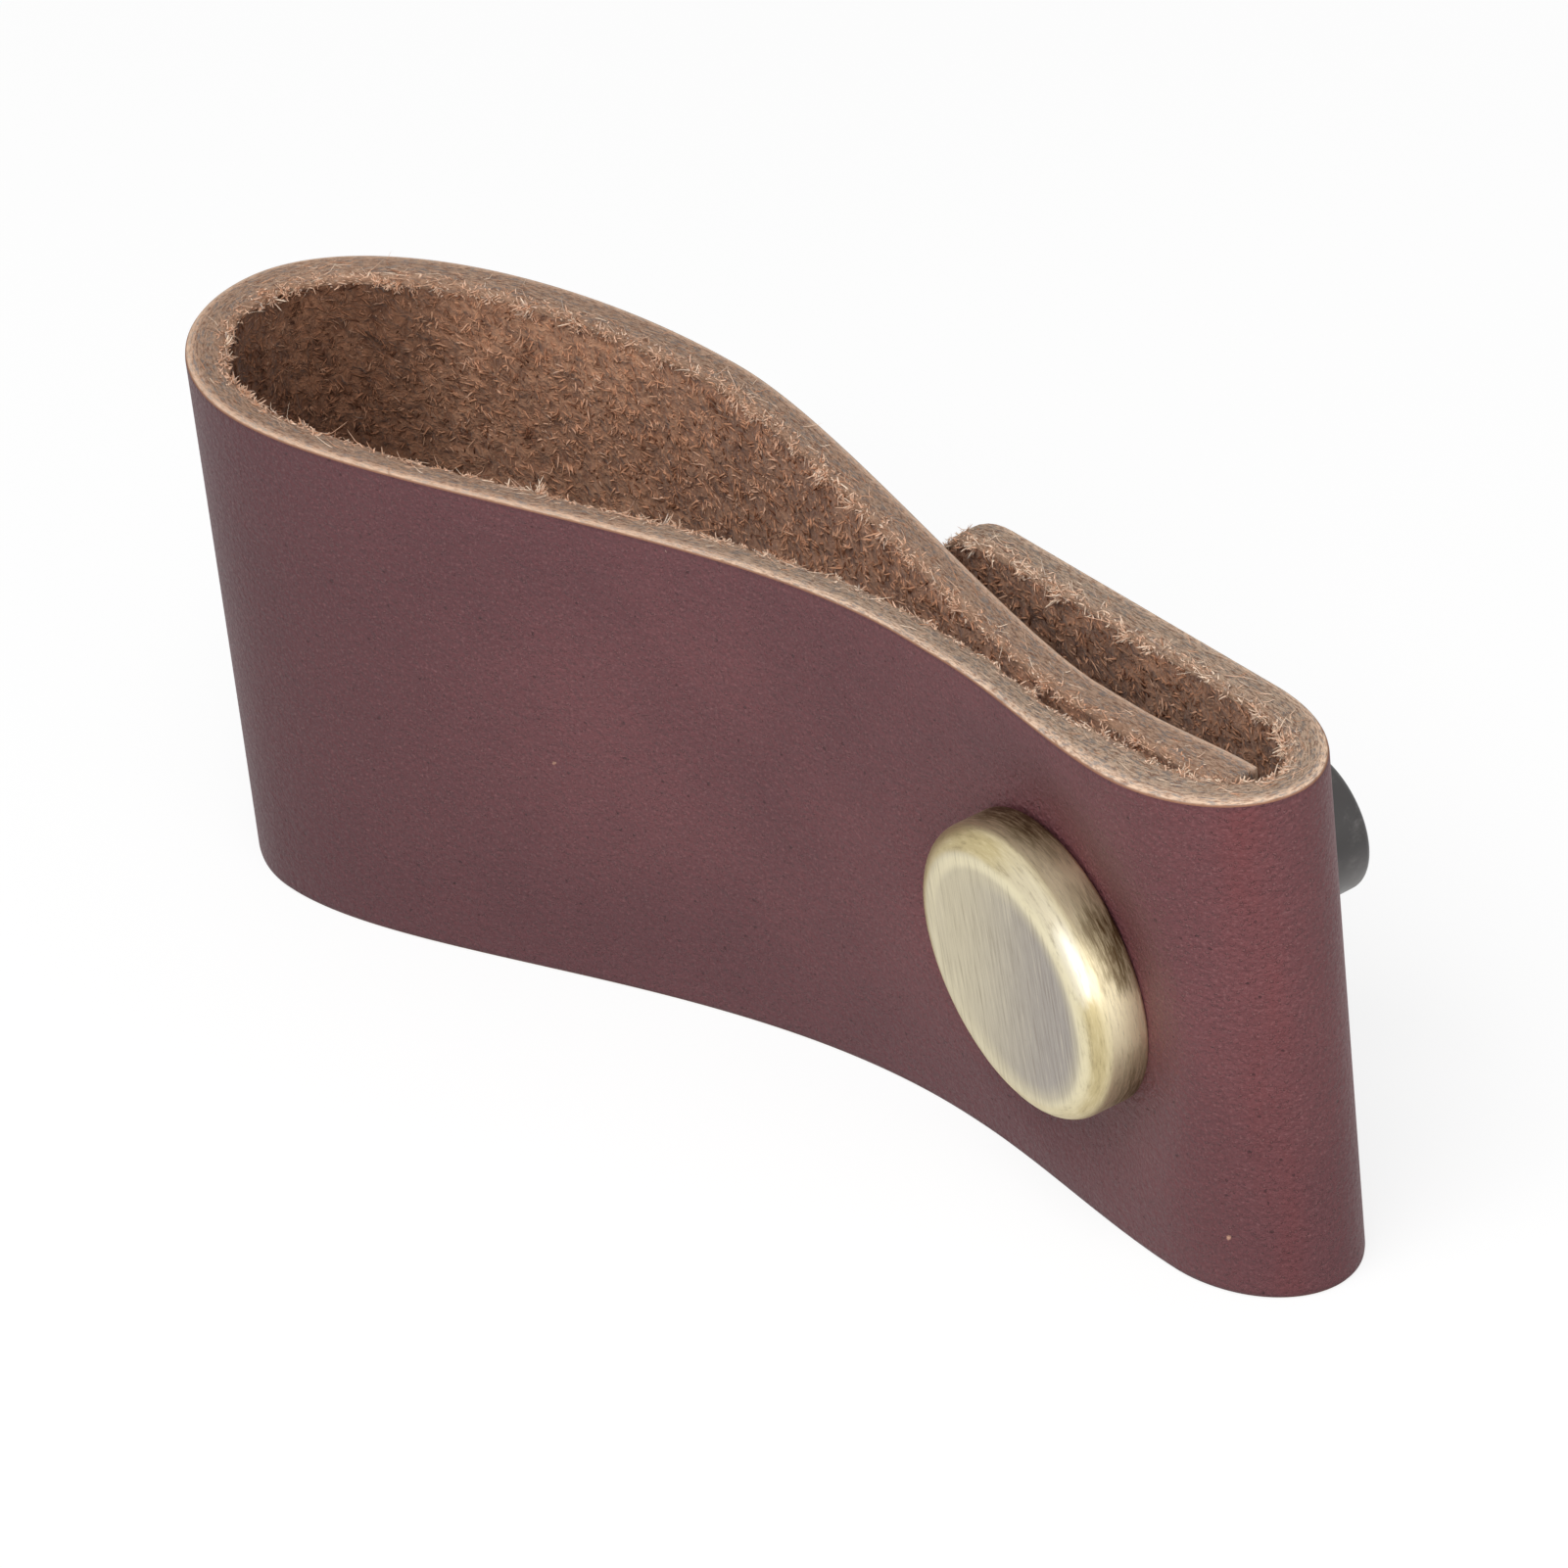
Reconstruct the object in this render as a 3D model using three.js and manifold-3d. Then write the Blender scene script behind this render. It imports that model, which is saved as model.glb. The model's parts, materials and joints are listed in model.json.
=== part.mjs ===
// Leather cabinet pull: one strap folded into a finger loop and held by a brass cap screwed on in front.
// Millimetres, +Z up. The strap's width stands along Z, +Y points into the door and +X runs along the door
// away from the loop. The strap is drawn round the screw axis, and the whole pull is then set down
// with the middle of its foot at the origin.
import * as THREE from 'three';
import { mergeVertices } from 'three/addons/utils/BufferGeometryUtils.js';
import Module from 'manifold-3d';

const wasm = await Module();
wasm.setup();

// Leather
const strapWidth = 35;
const strapThickness = 2.3;
const endCornerRadius = 6.5;

// Reach of the folded strap, from the screw axis
const loopReach = 78.8;
const foldReach = 19.5;
const flapReach = 23;
const tuckEndGap = 5.2;

// Depth of the folded strap, from the door face
const loopDepth = 26;
const pocketGap = 4.7;
const slitGap = 0.3;

// Bends: their lengths along the door back from the loop's end and from the fold's outer face,
// and the depth of the loop's end from the door face
const loopCrestLength = 15.3;
const loopBackLength = 32.8;
const loopEndDepth = 15.3;
const foldLength = 10;

// How long each end of the two soft S bends stays level, as a share of its run
const frontLevelShare = 0.34;
const crestLevelShare = 0.3;
const touchLevelShare = 0.24;
const tuckLevelShare = 0.16;

// How far the leather stays flat past the cap and past the sleeve
const flatPastCap = 0.45;
const flatPastSleeve = 0.65;

// Brass cap
const capRadius = 9.75;
const capHeight = 4.2;
const capEdgeRadius = 1.6;
const capHoleDepth = 3;

// Threaded stud, black sleeve and the holes they pass through
const studRadius = 2;
const studClearance = 0.3;
const studEndGap = 0.3;
const studChamfer = 0.4;
const studIntoSleeve = 9;
const sleeveRadius = 4.85;
const sleeveReach = 8.75;
const sleeveEdgeRadius = 0.5;
const sleeveClearance = 0.4;
const leatherHoleClearance = 0.5;

// Facets
const bendSteps = 20;
const longBendSteps = 28;
const cornerSteps = 8;
const edgeSteps = 6;
const roundSides = 64;
const holeSides = 40;
const cutOverrun = 0.1;

// Levels of the layers along Y at the screw: grain faces and flesh faces, from the door to the cap
const flapFlesh = -strapThickness;
const tuckGrain = flapFlesh - pocketGap;
const tuckFlesh = tuckGrain - strapThickness;
const frontFlesh = tuckFlesh - slitGap;
const frontGrain = frontFlesh - strapThickness;
const screwHeight = strapWidth / 2;
const boreRadius = studRadius + studClearance;
const tuckReach = foldReach - strapThickness - tuckEndGap;

// Where the bends begin along X
const foldStart = foldReach - foldLength;
const loopCrest = -(loopReach - loopCrestLength);
const loopTouch = -(loopReach - loopBackLength);
const frontBendStart = -(capRadius + flatPastCap);
const tuckBendStart = -(sleeveRadius + flatPastSleeve);

// A closed mesh as a manifold-3d solid, and back again.
function toSolid(geometry) {
  const bare = geometry.index ? geometry.toNonIndexed() : geometry.clone();
  bare.deleteAttribute('normal');
  bare.deleteAttribute('uv');
  const merged = mergeVertices(bare);
  return new wasm.Manifold(new wasm.Mesh({
    numProp: 3,
    vertProperties: merged.attributes.position.array,
    triVerts: new Uint32Array(merged.index.array),
  }));
}

function toGeometry(solid) {
  const mesh = solid.getMesh();
  const geometry = new THREE.BufferGeometry();
  geometry.setAttribute('position', new THREE.BufferAttribute(new Float32Array(mesh.vertProperties), 3));
  geometry.setIndex(new THREE.BufferAttribute(new Uint32Array(mesh.triVerts), 1));
  geometry.computeVertexNormals();
  return geometry;
}

function piece(name, geometry, color, roughness, metalness) {
  const mesh = new THREE.Mesh(geometry, new THREE.MeshStandardMaterial({ color, roughness, metalness }));
  mesh.name = name;
  return mesh;
}

// A quarter of an ellipse about (cx, cy), clockwise from the given angle.
function quarter(cx, cy, rx, ry, from) {
  return new THREE.EllipseCurve(cx, cy, rx, ry, from, from - Math.PI / 2, true);
}

// A soft S between two stretches that both run along X. Each end stays level for its share of the run.
function softStep([x0, y0], [x1, y1], startShare, endShare) {
  const run = x1 - x0;
  return new THREE.CubicBezierCurve(
    new THREE.Vector2(x0, y0),
    new THREE.Vector2(x0 + run * startShare, y0),
    new THREE.Vector2(x1 - run * endShare, y1),
    new THREE.Vector2(x1, y1),
  );
}

function straight(x0, x1, y) {
  return new THREE.LineCurve(new THREE.Vector2(x0, y), new THREE.Vector2(x1, y));
}

// The grain face seen from above, from the flap's end round the fold, the front wall and the loop
// to the tucked end. The grain stays on the left of the way, so the flesh lies one thickness to the right.
function grainFace() {
  const foldDepth = -frontGrain / 2;
  const crestDepth = loopDepth - loopEndDepth;
  const crest = [loopCrest, -loopDepth];
  const touch = [loopTouch, 0];
  const frontBend = softStep([frontBendStart, frontGrain], crest, frontLevelShare, crestLevelShare);
  const rearBend = softStep(touch, [tuckBendStart, tuckGrain], touchLevelShare, tuckLevelShare);
  return [
    [straight(-flapReach, foldStart, 0), 1],
    [quarter(foldStart, -foldDepth, foldLength, foldDepth, Math.PI / 2), bendSteps],
    [quarter(foldStart, -foldDepth, foldLength, foldDepth, 0), bendSteps],
    [straight(foldStart, frontBendStart, frontGrain), 1],
    [frontBend, longBendSteps],
    [quarter(loopCrest, -loopEndDepth, loopCrestLength, crestDepth, -Math.PI / 2), bendSteps],
    [quarter(loopTouch, -loopEndDepth, loopBackLength, loopEndDepth, Math.PI), longBendSteps],
    [rearBend, longBendSteps],
    [straight(tuckBendStart, tuckReach, tuckGrain), 1],
  ];
}

// Stations along the strap: at each, the two edges of the grain face, then the two of the flesh face
// one thickness inside it, so that consecutive stations bound one flat length of leather.
function strapStations() {
  const stations = [];
  grainFace().forEach(([curve, steps], part) => {
    for (let step = part === 0 ? 0 : 1; step <= steps; step += 1) {
      const grain = curve.getPoint(step / steps);
      const way = curve.getTangent(step / steps);
      const fleshX = grain.x + way.y * strapThickness;
      const fleshY = grain.y - way.x * strapThickness;
      stations.push([grain.x, grain.y, 0, grain.x, grain.y, strapWidth]);
      stations.push([fleshX, fleshY, strapWidth, fleshX, fleshY, 0]);
    }
  });
  return stations.flat();
}

// The folded strap before it is trimmed and punched: four faces along its length and one at each end.
function strapBlank() {
  const positions = strapStations();
  const last = positions.length / 3 - 4;
  const faces = [[0, 3, 2], [0, 2, 1], [last, last + 1, last + 2], [last, last + 2, last + 3]];
  for (let here = 0; here < last; here += 4) {
    for (let edge = 0; edge < 4; edge += 1) {
      const next = (edge + 1) % 4;
      faces.push([here + edge, here + next, here + 4 + next]);
      faces.push([here + edge, here + 4 + next, here + 4 + edge]);
    }
  }
  const geometry = new THREE.BufferGeometry();
  geometry.setAttribute('position', new THREE.Float32BufferAttribute(positions, 3));
  geometry.setIndex(faces.flat());
  return toSolid(geometry);
}

// What is cut away outside a rounded corner of the flap's end: up is 1 at the upper edge, -1 at the lower.
function cornerCut(up) {
  const endX = -flapReach;
  const edgeZ = up > 0 ? strapWidth : 0;
  const shape = new THREE.Shape();
  shape.moveTo(endX + endCornerRadius, edgeZ + up * cutOverrun);
  for (let step = 0; step <= cornerSteps; step += 1) {
    const angle = (step / cornerSteps) * (Math.PI / 2);
    shape.lineTo(
      endX + endCornerRadius * (1 - Math.sin(angle)),
      edgeZ - up * endCornerRadius * (1 - Math.cos(angle)),
    );
  }
  shape.lineTo(endX - cutOverrun, edgeZ - up * endCornerRadius);
  shape.lineTo(endX - cutOverrun, edgeZ + up * cutOverrun);
  const depth = strapThickness + 2 * cutOverrun;
  const geometry = new THREE.ExtrudeGeometry(shape, { depth, bevelEnabled: false });
  geometry.rotateX(Math.PI / 2);
  geometry.translate(0, cutOverrun, 0);
  return toSolid(geometry);
}

// A round hole along the screw axis between two levels.
function holeCut(radius, low, high) {
  const geometry = new THREE.CylinderGeometry(radius, radius, high - low, holeSides);
  geometry.translate(0, (low + high) / 2, screwHeight);
  return toSolid(geometry);
}

// One strap of leather, cut to length with rounded end corners and punched where the stud
// and the sleeve pass through it.
function leatherStrap() {
  const cuts = [
    cornerCut(1),
    cornerCut(-1),
    holeCut(sleeveRadius + sleeveClearance, flapFlesh - cutOverrun, cutOverrun),
    holeCut(studRadius + leatherHoleClearance, frontGrain - cutOverrun, tuckGrain + cutOverrun),
  ];
  return toGeometry(cuts.reduce((solid, cut) => solid.subtract(cut), strapBlank()));
}

// A turned piece: its profile in radius and level along Y, round the screw axis.
function turned(profile) {
  const geometry = new THREE.LatheGeometry(profile, roundSides);
  geometry.translate(0, 0, screwHeight);
  return geometry;
}

// Points of a quarter round of an edge, about a centre, between two angles.
function edgeRound(radius, level, size, from, to) {
  const points = [];
  for (let step = 0; step <= edgeSteps; step += 1) {
    const angle = from + (to - from) * (step / edgeSteps);
    points.push(new THREE.Vector2(radius + size * Math.cos(angle), level + size * Math.sin(angle)));
  }
  return points;
}

// Turned brass cap with a rounded front edge and a tapped blind hole in its back.
function brassCap() {
  const face = frontGrain - capHeight;
  return turned([
    new THREE.Vector2(0, face),
    ...edgeRound(capRadius - capEdgeRadius, face + capEdgeRadius, capEdgeRadius, -Math.PI / 2, 0),
    new THREE.Vector2(capRadius, frontGrain),
    new THREE.Vector2(boreRadius, frontGrain),
    new THREE.Vector2(boreRadius, frontGrain - capHoleDepth),
    new THREE.Vector2(0, frontGrain - capHoleDepth),
  ]);
}

// Headless threaded stud that joins the cap to the sleeve through the leather.
function threadedStud() {
  const low = frontGrain - capHoleDepth + studEndGap;
  const high = tuckGrain + studIntoSleeve;
  return turned([
    new THREE.Vector2(0, low),
    new THREE.Vector2(studRadius - studChamfer, low),
    new THREE.Vector2(studRadius, low + studChamfer),
    new THREE.Vector2(studRadius, high - studChamfer),
    new THREE.Vector2(studRadius - studChamfer, high),
    new THREE.Vector2(0, high),
  ]);
}

// Black sleeve: its front end bears on the tucked layer, it passes through the flap and stands
// out behind the door face, and its bore takes the stud in front and the door screw from behind.
function blackSleeve() {
  const edgeLevel = sleeveReach - sleeveEdgeRadius;
  return turned([
    new THREE.Vector2(boreRadius, tuckGrain),
    new THREE.Vector2(sleeveRadius, tuckGrain),
    ...edgeRound(sleeveRadius - sleeveEdgeRadius, edgeLevel, sleeveEdgeRadius, 0, Math.PI / 2),
    new THREE.Vector2(boreRadius, sleeveReach),
    new THREE.Vector2(boreRadius, tuckGrain),
  ]);
}

const pull = new THREE.Group();
pull.add(piece('leather_strap', leatherStrap(), 0x6e4a50, 0.55, 0));
pull.add(piece('brass_cap', brassCap(), 0xa89a6a, 0.35, 1));
pull.add(piece('threaded_stud', threadedStud(), 0x9a9a9c, 0.4, 1));
pull.add(piece('black_sleeve', blackSleeve(), 0x2b2c2d, 0.6, 0));
pull.position.set((loopReach - foldReach) / 2, (loopDepth - sleeveReach) / 2, 0);

export default pull;
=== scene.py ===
import json

import bmesh
import bpy
import numpy as np
from mathutils import Matrix, Vector


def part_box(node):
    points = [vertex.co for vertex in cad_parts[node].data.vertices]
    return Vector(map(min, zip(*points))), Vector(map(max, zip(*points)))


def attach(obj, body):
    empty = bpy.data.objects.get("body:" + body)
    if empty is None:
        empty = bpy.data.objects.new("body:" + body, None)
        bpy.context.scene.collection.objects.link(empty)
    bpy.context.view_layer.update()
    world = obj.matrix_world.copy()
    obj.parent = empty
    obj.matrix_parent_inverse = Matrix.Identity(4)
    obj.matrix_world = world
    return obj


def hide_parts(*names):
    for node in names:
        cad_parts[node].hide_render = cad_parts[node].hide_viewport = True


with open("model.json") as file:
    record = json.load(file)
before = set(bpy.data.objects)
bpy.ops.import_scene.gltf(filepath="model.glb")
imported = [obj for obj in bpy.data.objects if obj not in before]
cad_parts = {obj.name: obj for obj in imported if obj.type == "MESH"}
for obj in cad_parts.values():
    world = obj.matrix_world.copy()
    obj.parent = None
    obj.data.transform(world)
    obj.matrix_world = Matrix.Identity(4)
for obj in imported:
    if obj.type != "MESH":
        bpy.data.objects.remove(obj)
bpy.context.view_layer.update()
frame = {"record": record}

# The frame. Every piece below is worked out in millimetres from the point where the screw's axis meets
# the door face: x along the strap, y into the door and z up.
mm = 0.001
sleeve_low, sleeve_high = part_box("black_sleeve")
door_face_y = frame["record"]["mounts"][0]["pos_m"][1]
screw_point = np.array(
    [(sleeve_low[0] + sleeve_high[0]) / 2, door_face_y, (sleeve_low[2] + sleeve_high[2]) / 2]
)


# The camera stands where the photograph was taken from, high on the fold's side of the front, with a long
# lens. Its place was found by fitting the strap's two long edges and the circles of the cap.
photo_pixels = 1601
focal_pixels = 12000.0
sensor_width = 36.0
camera_azimuth = np.radians(57.961)
camera_elevation = np.radians(31.997)
camera_roll = np.radians(-8.205)
camera_distance = 725.37
aim_point = np.array([-27.425, -12.031, 0.0])
nearest_seen = 0.05


def in_frame(points):
    """Points in millimetres from the screw point, as metres in the frame: scaled, then moved."""
    return screw_point + np.asarray(points) * mm


def camera_matrix():
    """The camera looks back along the line from the aim point; right and up are turned by the roll."""
    flat = np.cos(camera_elevation)
    back = Vector(
        (np.sin(camera_azimuth) * flat, -np.cos(camera_azimuth) * flat, np.sin(camera_elevation))
    )
    level_right = (-back).cross(Vector((0, 0, 1))).normalized()
    level_up = level_right.cross(-back)
    turn_cos, turn_sin = np.cos(camera_roll), np.sin(camera_roll)
    right = level_right * turn_cos + level_up * turn_sin
    up = level_up * turn_cos - level_right * turn_sin
    matrix = Matrix((right, up, back)).transposed().to_4x4()
    matrix.translation = Vector(in_frame(aim_point)) + back * camera_distance * mm
    return matrix


camera_data = bpy.data.cameras.new("camera")
camera_data.sensor_width = sensor_width
camera_data.lens = sensor_width * focal_pixels / photo_pixels
camera_data.clip_start = nearest_seen
camera = bpy.data.objects.new("camera", camera_data)
camera.matrix_world = camera_matrix()
bpy.context.collection.objects.link(camera)
bpy.context.scene.camera = camera
bpy.context.scene.view_settings.view_transform = "Standard"


# The studio is a plain pale floor under soft white light, with large lamps above, in front and on the side
# of the fold. The floor shows nearly white to the camera and to glossy surfaces, and keeps the soft shadow.
floor_reach = 3.0
floor_white = (0.86, 0.86, 0.86, 1)
shown_white = (1, 1, 1, 1)
shadow_keep = 0.22
room_light = 0.42
bounce_white = (0.4, 0.4, 0.4, 1)
floor_glow = 1.05
softboxes = {
    "high_lamp": {"place": (110, -250, 480), "side": 420, "power": 2.2},
    "front_lamp": {"place": (380, -430, 70), "side": 380, "power": 1.25},
    "fold_lamp": {"place": (440, 10, 90), "side": 300, "power": 0.5},
}


def add_node(tree, kind, inputs=None, **settings):
    """A shader node in tree. inputs gives, by name or number, a value to set or an output to link to it."""
    node = tree.nodes.new("ShaderNode" + kind)
    for name, value in settings.items():
        setattr(node, name, value)
    for key, value in (inputs or {}).items():
        if isinstance(value, bpy.types.NodeSocket):
            tree.links.new(value, node.inputs[key])
        else:
            node.inputs[key].default_value = value
    return node


def maths(tree, operation, a, b=0.0):
    """One arithmetic step on two values."""
    return add_node(tree, "Math", {0: a, 1: b}, operation=operation).outputs[0]


def rays_seen(tree):
    """The kinds of ray, and 1 for those that show the studio itself: the camera's and those off gloss."""
    rays = add_node(tree, "LightPath").outputs
    return rays, maths(tree, "MAXIMUM", rays["Is Camera Ray"], rays["Is Glossy Ray"])


def new_finish(name):
    """An empty material and its node tree."""
    finish = bpy.data.materials.new(name)
    finish.use_nodes = True
    finish.node_tree.nodes.clear()
    return finish, finish.node_tree


def add_softbox(name, place, side, power):
    """A square lamp at place, turned to face the middle of the pull."""
    data = bpy.data.lights.new(name, "AREA")
    data.size = side * mm
    data.energy = power
    lamp = bpy.data.objects.new(name, data)
    lamp.location = in_frame(place)
    towards = Vector(in_frame(aim_point)) - lamp.location
    lamp.rotation_euler = towards.to_track_quat("-Z", "Y").to_euler()
    bpy.context.collection.objects.link(lamp)
    return lamp


lamps = {name: add_softbox(name, **values) for name, values in softboxes.items()}
# The high lamp would lie as a hard white square on the brass.
lamps["high_lamp"].visible_glossy = False

world = bpy.data.worlds.new("studio")
world.use_nodes = True
tree = world.node_tree
tree.nodes.clear()
_, seen = rays_seen(tree)
room = add_node(tree, "MapRange", {"Value": seen, "To Min": room_light, "To Max": 1.0})
sky = add_node(tree, "Background", {"Color": shown_white, "Strength": room.outputs[0]})
add_node(tree, "OutputWorld", {"Surface": sky.outputs[0]})
bpy.context.scene.world = world

floor_finish, tree = new_finish("pale_floor")
rays, seen = rays_seen(tree)
lifted = maths(tree, "MULTIPLY", seen, 1 - shadow_keep)
floor_tone = add_node(
    tree, "Mix", {0: rays["Is Diffuse Ray"], 6: floor_white, 7: bounce_white}, data_type="RGBA"
)
lit_floor = add_node(tree, "BsdfDiffuse", {"Color": floor_tone.outputs[2]})
white_floor = add_node(tree, "Emission", {"Color": shown_white, "Strength": floor_glow})
floor_mix = add_node(tree, "MixShader", {0: lifted, 1: lit_floor.outputs[0], 2: white_floor.outputs[0]})
add_node(tree, "OutputMaterial", {"Surface": floor_mix.outputs[0]})

floor_mesh = bpy.data.meshes.new("floor")
floor_mesh.from_pydata(
    [(-floor_reach, -floor_reach, 0), (floor_reach, -floor_reach, 0),
     (floor_reach, floor_reach, 0), (-floor_reach, floor_reach, 0)],
    [], [(0, 1, 2, 3)],
)
floor_mesh.materials.append(floor_finish)
floor = bpy.data.objects.new("floor", floor_mesh)
bpy.context.collection.objects.link(floor)


# The strap is one piece of vegetable-tanned leather, dyed oxblood on its smooth grain side, raw on its flesh
# side and cut edges. It is cut flat, holed, then folded: a short flap against the door, a round fold, the
# front, the wide finger loop, and back to be tucked between flap and front, where the screw holds it.
strap_width = 35.0
strap_thickness = 2.1
end_corner_radius = 6.5
flap_reach = 23.0
sleeve_hole_radius = 5.25
sleeve_hole_reach = 9.5
stud_hole_radius = 2.5
stud_hole_reach = 5.25
seat_y = -11.85
seat_slope = -0.0717
front_seat_reach = (10.2, 16.5)
tuck_seat_y = -7.0
tuck_seat_reach = (5.2, 9.0)
loop_touch_x = -45.0
loop_end_y = -14.5
rear_bend_shares = (0.229, 0.19)
rear_calm_x = -6.5
tuck_level_x = 1.5
tuck_level_y = -7.1
tuck_ease_x = 5.2
tuck_ease = 0.75
tuck_reach = 15.6
fold_rear_x = 9.5
fold_bulge_y = -13.35
lift_start_x = -6.0
thickness_at_stops = [2.1, 2.2, 2.6, 3.4, 2.1, 2.3, 2.6, 2.2, 2.1, 2.8]
calm_end_x = -11.7
calm_y = -12.05

# The two long edges differ a little, because the leather twists: the lower one bulges more and ends sooner,
# and it leaves the door a little towards the fold.
upper_edge = {
    "flap_lift": 0.0, "fold_reach": 19.5, "fold_middle_y": -6.35, "fold_front_x": 9.0, "calm_x": -8.0,
    "crest": (-64.7, -25.4), "front_shares": (0.348, 0.254), "loop_reach": 78.6, "loop_rear_y": 0.4,
}
lower_edge = {
    "flap_lift": 1.5, "fold_reach": 19.2, "fold_middle_y": -7.5, "fold_front_x": 10.5, "calm_x": -11.0,
    "crest": (-65.0, -26.8), "front_shares": (0.43, 0.246), "loop_reach": 76.6, "loop_rear_y": 0.0,
}

bend_stations = 44
fold_run_stations = 14
front_stations = 132
loop_end_stations = 64
loop_rear_stations = 88
rear_bend_stations = 108
tuck_stations = 30
bend_samples = 800
level_spacing = 0.5
corner_stations = 12


def steps_between(start, end, count):
    """count equal steps from start, without the end itself."""
    return np.linspace(start, end, count, endpoint=False)


def lines_through(*stops):
    """Positions about one level spacing apart that pass through every stop, without the last stop."""
    spans = zip(stops[:-1], stops[1:])
    return np.concatenate(
        [steps_between(a, b, max(1, round(abs(b - a) / level_spacing))) for a, b in spans]
    )


def quarter_turn(centre, radii, start_degrees, count):
    """A quarter of an ellipse, clockwise from an angle: centre plus radii times (cosine, sine)."""
    angle = np.radians(steps_between(start_degrees, start_degrees - 90, count))
    return np.array(centre) + np.array(radii) * np.stack([np.cos(angle), np.sin(angle)], axis=1)


def soft_step(start, end, shares, count):
    """A cubic Bezier curve that leaves start level and comes level to end, each for a share of the run."""
    start, end = np.array(start), np.array(end)
    run = np.array([end[0] - start[0], 0])
    leave, arrive = start + run * shares[0], end - run * shares[1]
    t = steps_between(0, 1, count)[:, None]
    return (
        (1 - t) ** 3 * start + 3 * (1 - t) ** 2 * t * leave + 3 * (1 - t) * t**2 * arrive + t**3 * end
    )


def smooth(value):
    """0 below 0, 1 above 1, and 3 v squared less 2 v cubed between."""
    value = np.clip(value, 0, 1)
    return value * value * (3 - 2 * value)


corner_x = -flap_reach + end_corner_radius * (1 - np.cos(steps_between(0, np.pi / 2, corner_stations)))
flap_x = np.concatenate(
    [corner_x, lines_through(-flap_reach + end_corner_radius, -sleeve_hole_reach, -sleeve_hole_radius,
                             sleeve_hole_radius, fold_rear_x)]
)
calm_run_x = lines_through(stud_hole_radius, -stud_hole_radius, calm_end_x)
rear_x = np.concatenate(
    [steps_between(loop_touch_x, rear_calm_x, rear_bend_stations),
     lines_through(rear_calm_x, -stud_hole_radius, stud_hole_radius),
     np.linspace(stud_hole_radius, tuck_reach, tuck_stations)]
)


def tucked_y(x, loop_rear_y):
    """The rear wall from the door to its tucked end: a soft step, a level run, then a slight ease back."""
    start, end = (loop_touch_x, loop_rear_y), (tuck_level_x, tuck_level_y)
    bend = soft_step(start, end, rear_bend_shares, bend_samples)
    eased = tuck_ease * smooth((x - tuck_ease_x) / (tuck_reach - tuck_ease_x))
    return np.interp(x, bend[:, 0], bend[:, 1]) + eased


def edge_line(
    flap_lift, fold_reach, fold_middle_y, fold_front_x, calm_x, crest, front_shares, loop_reach, loop_rear_y
):
    """The grain side along one long edge, from above: its stretches end to end, and where each starts."""
    flap_y = -flap_lift * smooth((flap_x - lift_start_x) / (fold_rear_x - lift_start_x))
    front_x = np.concatenate([steps_between(fold_front_x, stud_hole_radius, fold_run_stations), calm_run_x])
    front_y = calm_y + (fold_bulge_y - calm_y) * smooth((front_x - calm_x) / (fold_front_x - calm_x))
    stretches = {
        "flap": np.stack([flap_x, flap_y], axis=1),
        "fold_rear": quarter_turn(
            (fold_rear_x, fold_middle_y), (fold_reach - fold_rear_x, -flap_lift - fold_middle_y), 90,
            bend_stations,
        ),
        "fold_front": quarter_turn(
            (fold_front_x, fold_middle_y),
            (fold_reach - fold_front_x, fold_middle_y - fold_bulge_y), 0, bend_stations,
        ),
        "front": np.stack([front_x, front_y], axis=1),
        "front_bend": soft_step((calm_end_x, calm_y), crest, front_shares, front_stations),
        "loop_end": quarter_turn(
            (crest[0], loop_end_y), (loop_reach + crest[0], loop_end_y - crest[1]), -90, loop_end_stations
        ),
        "loop_rear": quarter_turn(
            (loop_touch_x, loop_end_y), (loop_reach + loop_touch_x, loop_rear_y - loop_end_y), 180,
            loop_rear_stations,
        ),
        "rear_bend": np.stack([rear_x, tucked_y(rear_x, loop_rear_y)], axis=1),
    }
    starts = np.cumsum([0] + [len(points) for points in stretches.values()])
    return np.concatenate(list(stretches.values())), dict(zip([*stretches, "end"], starts))


upper_line, stretch_start = edge_line(**upper_edge)
lower_line, _ = edge_line(**lower_edge)
middle_line = (upper_line + lower_line) / 2
station_along = np.concatenate([[0], np.cumsum(np.linalg.norm(np.diff(middle_line, axis=0), axis=1))])
station_count = len(station_along)


def flesh_way(line):
    """At each station, the flat direction from the grain to the flesh: the way along, turned right."""
    way = np.gradient(line, axis=0)
    way /= np.linalg.norm(way, axis=1, keepdims=True)
    return np.stack([way[:, 1], -way[:, 0]], axis=1)


upper_flesh_way, lower_flesh_way = flesh_way(upper_line), flesh_way(lower_line)

# The flesh is left a little thicker where the leather is squeezed round the fold and the loop's end.
turn_starts = [stretch_start[name] for name in ("fold_rear", "fold_front", "front", "loop_end", "loop_rear")]
thickness_stops = station_along[
    [0, *turn_starts[:3], turn_starts[2] + fold_run_stations + 5, *turn_starts[3:],
     stretch_start["rear_bend"], station_count - 24, station_count - 1]
]
thickness = np.interp(station_along, thickness_stops, thickness_at_stops)

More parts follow.
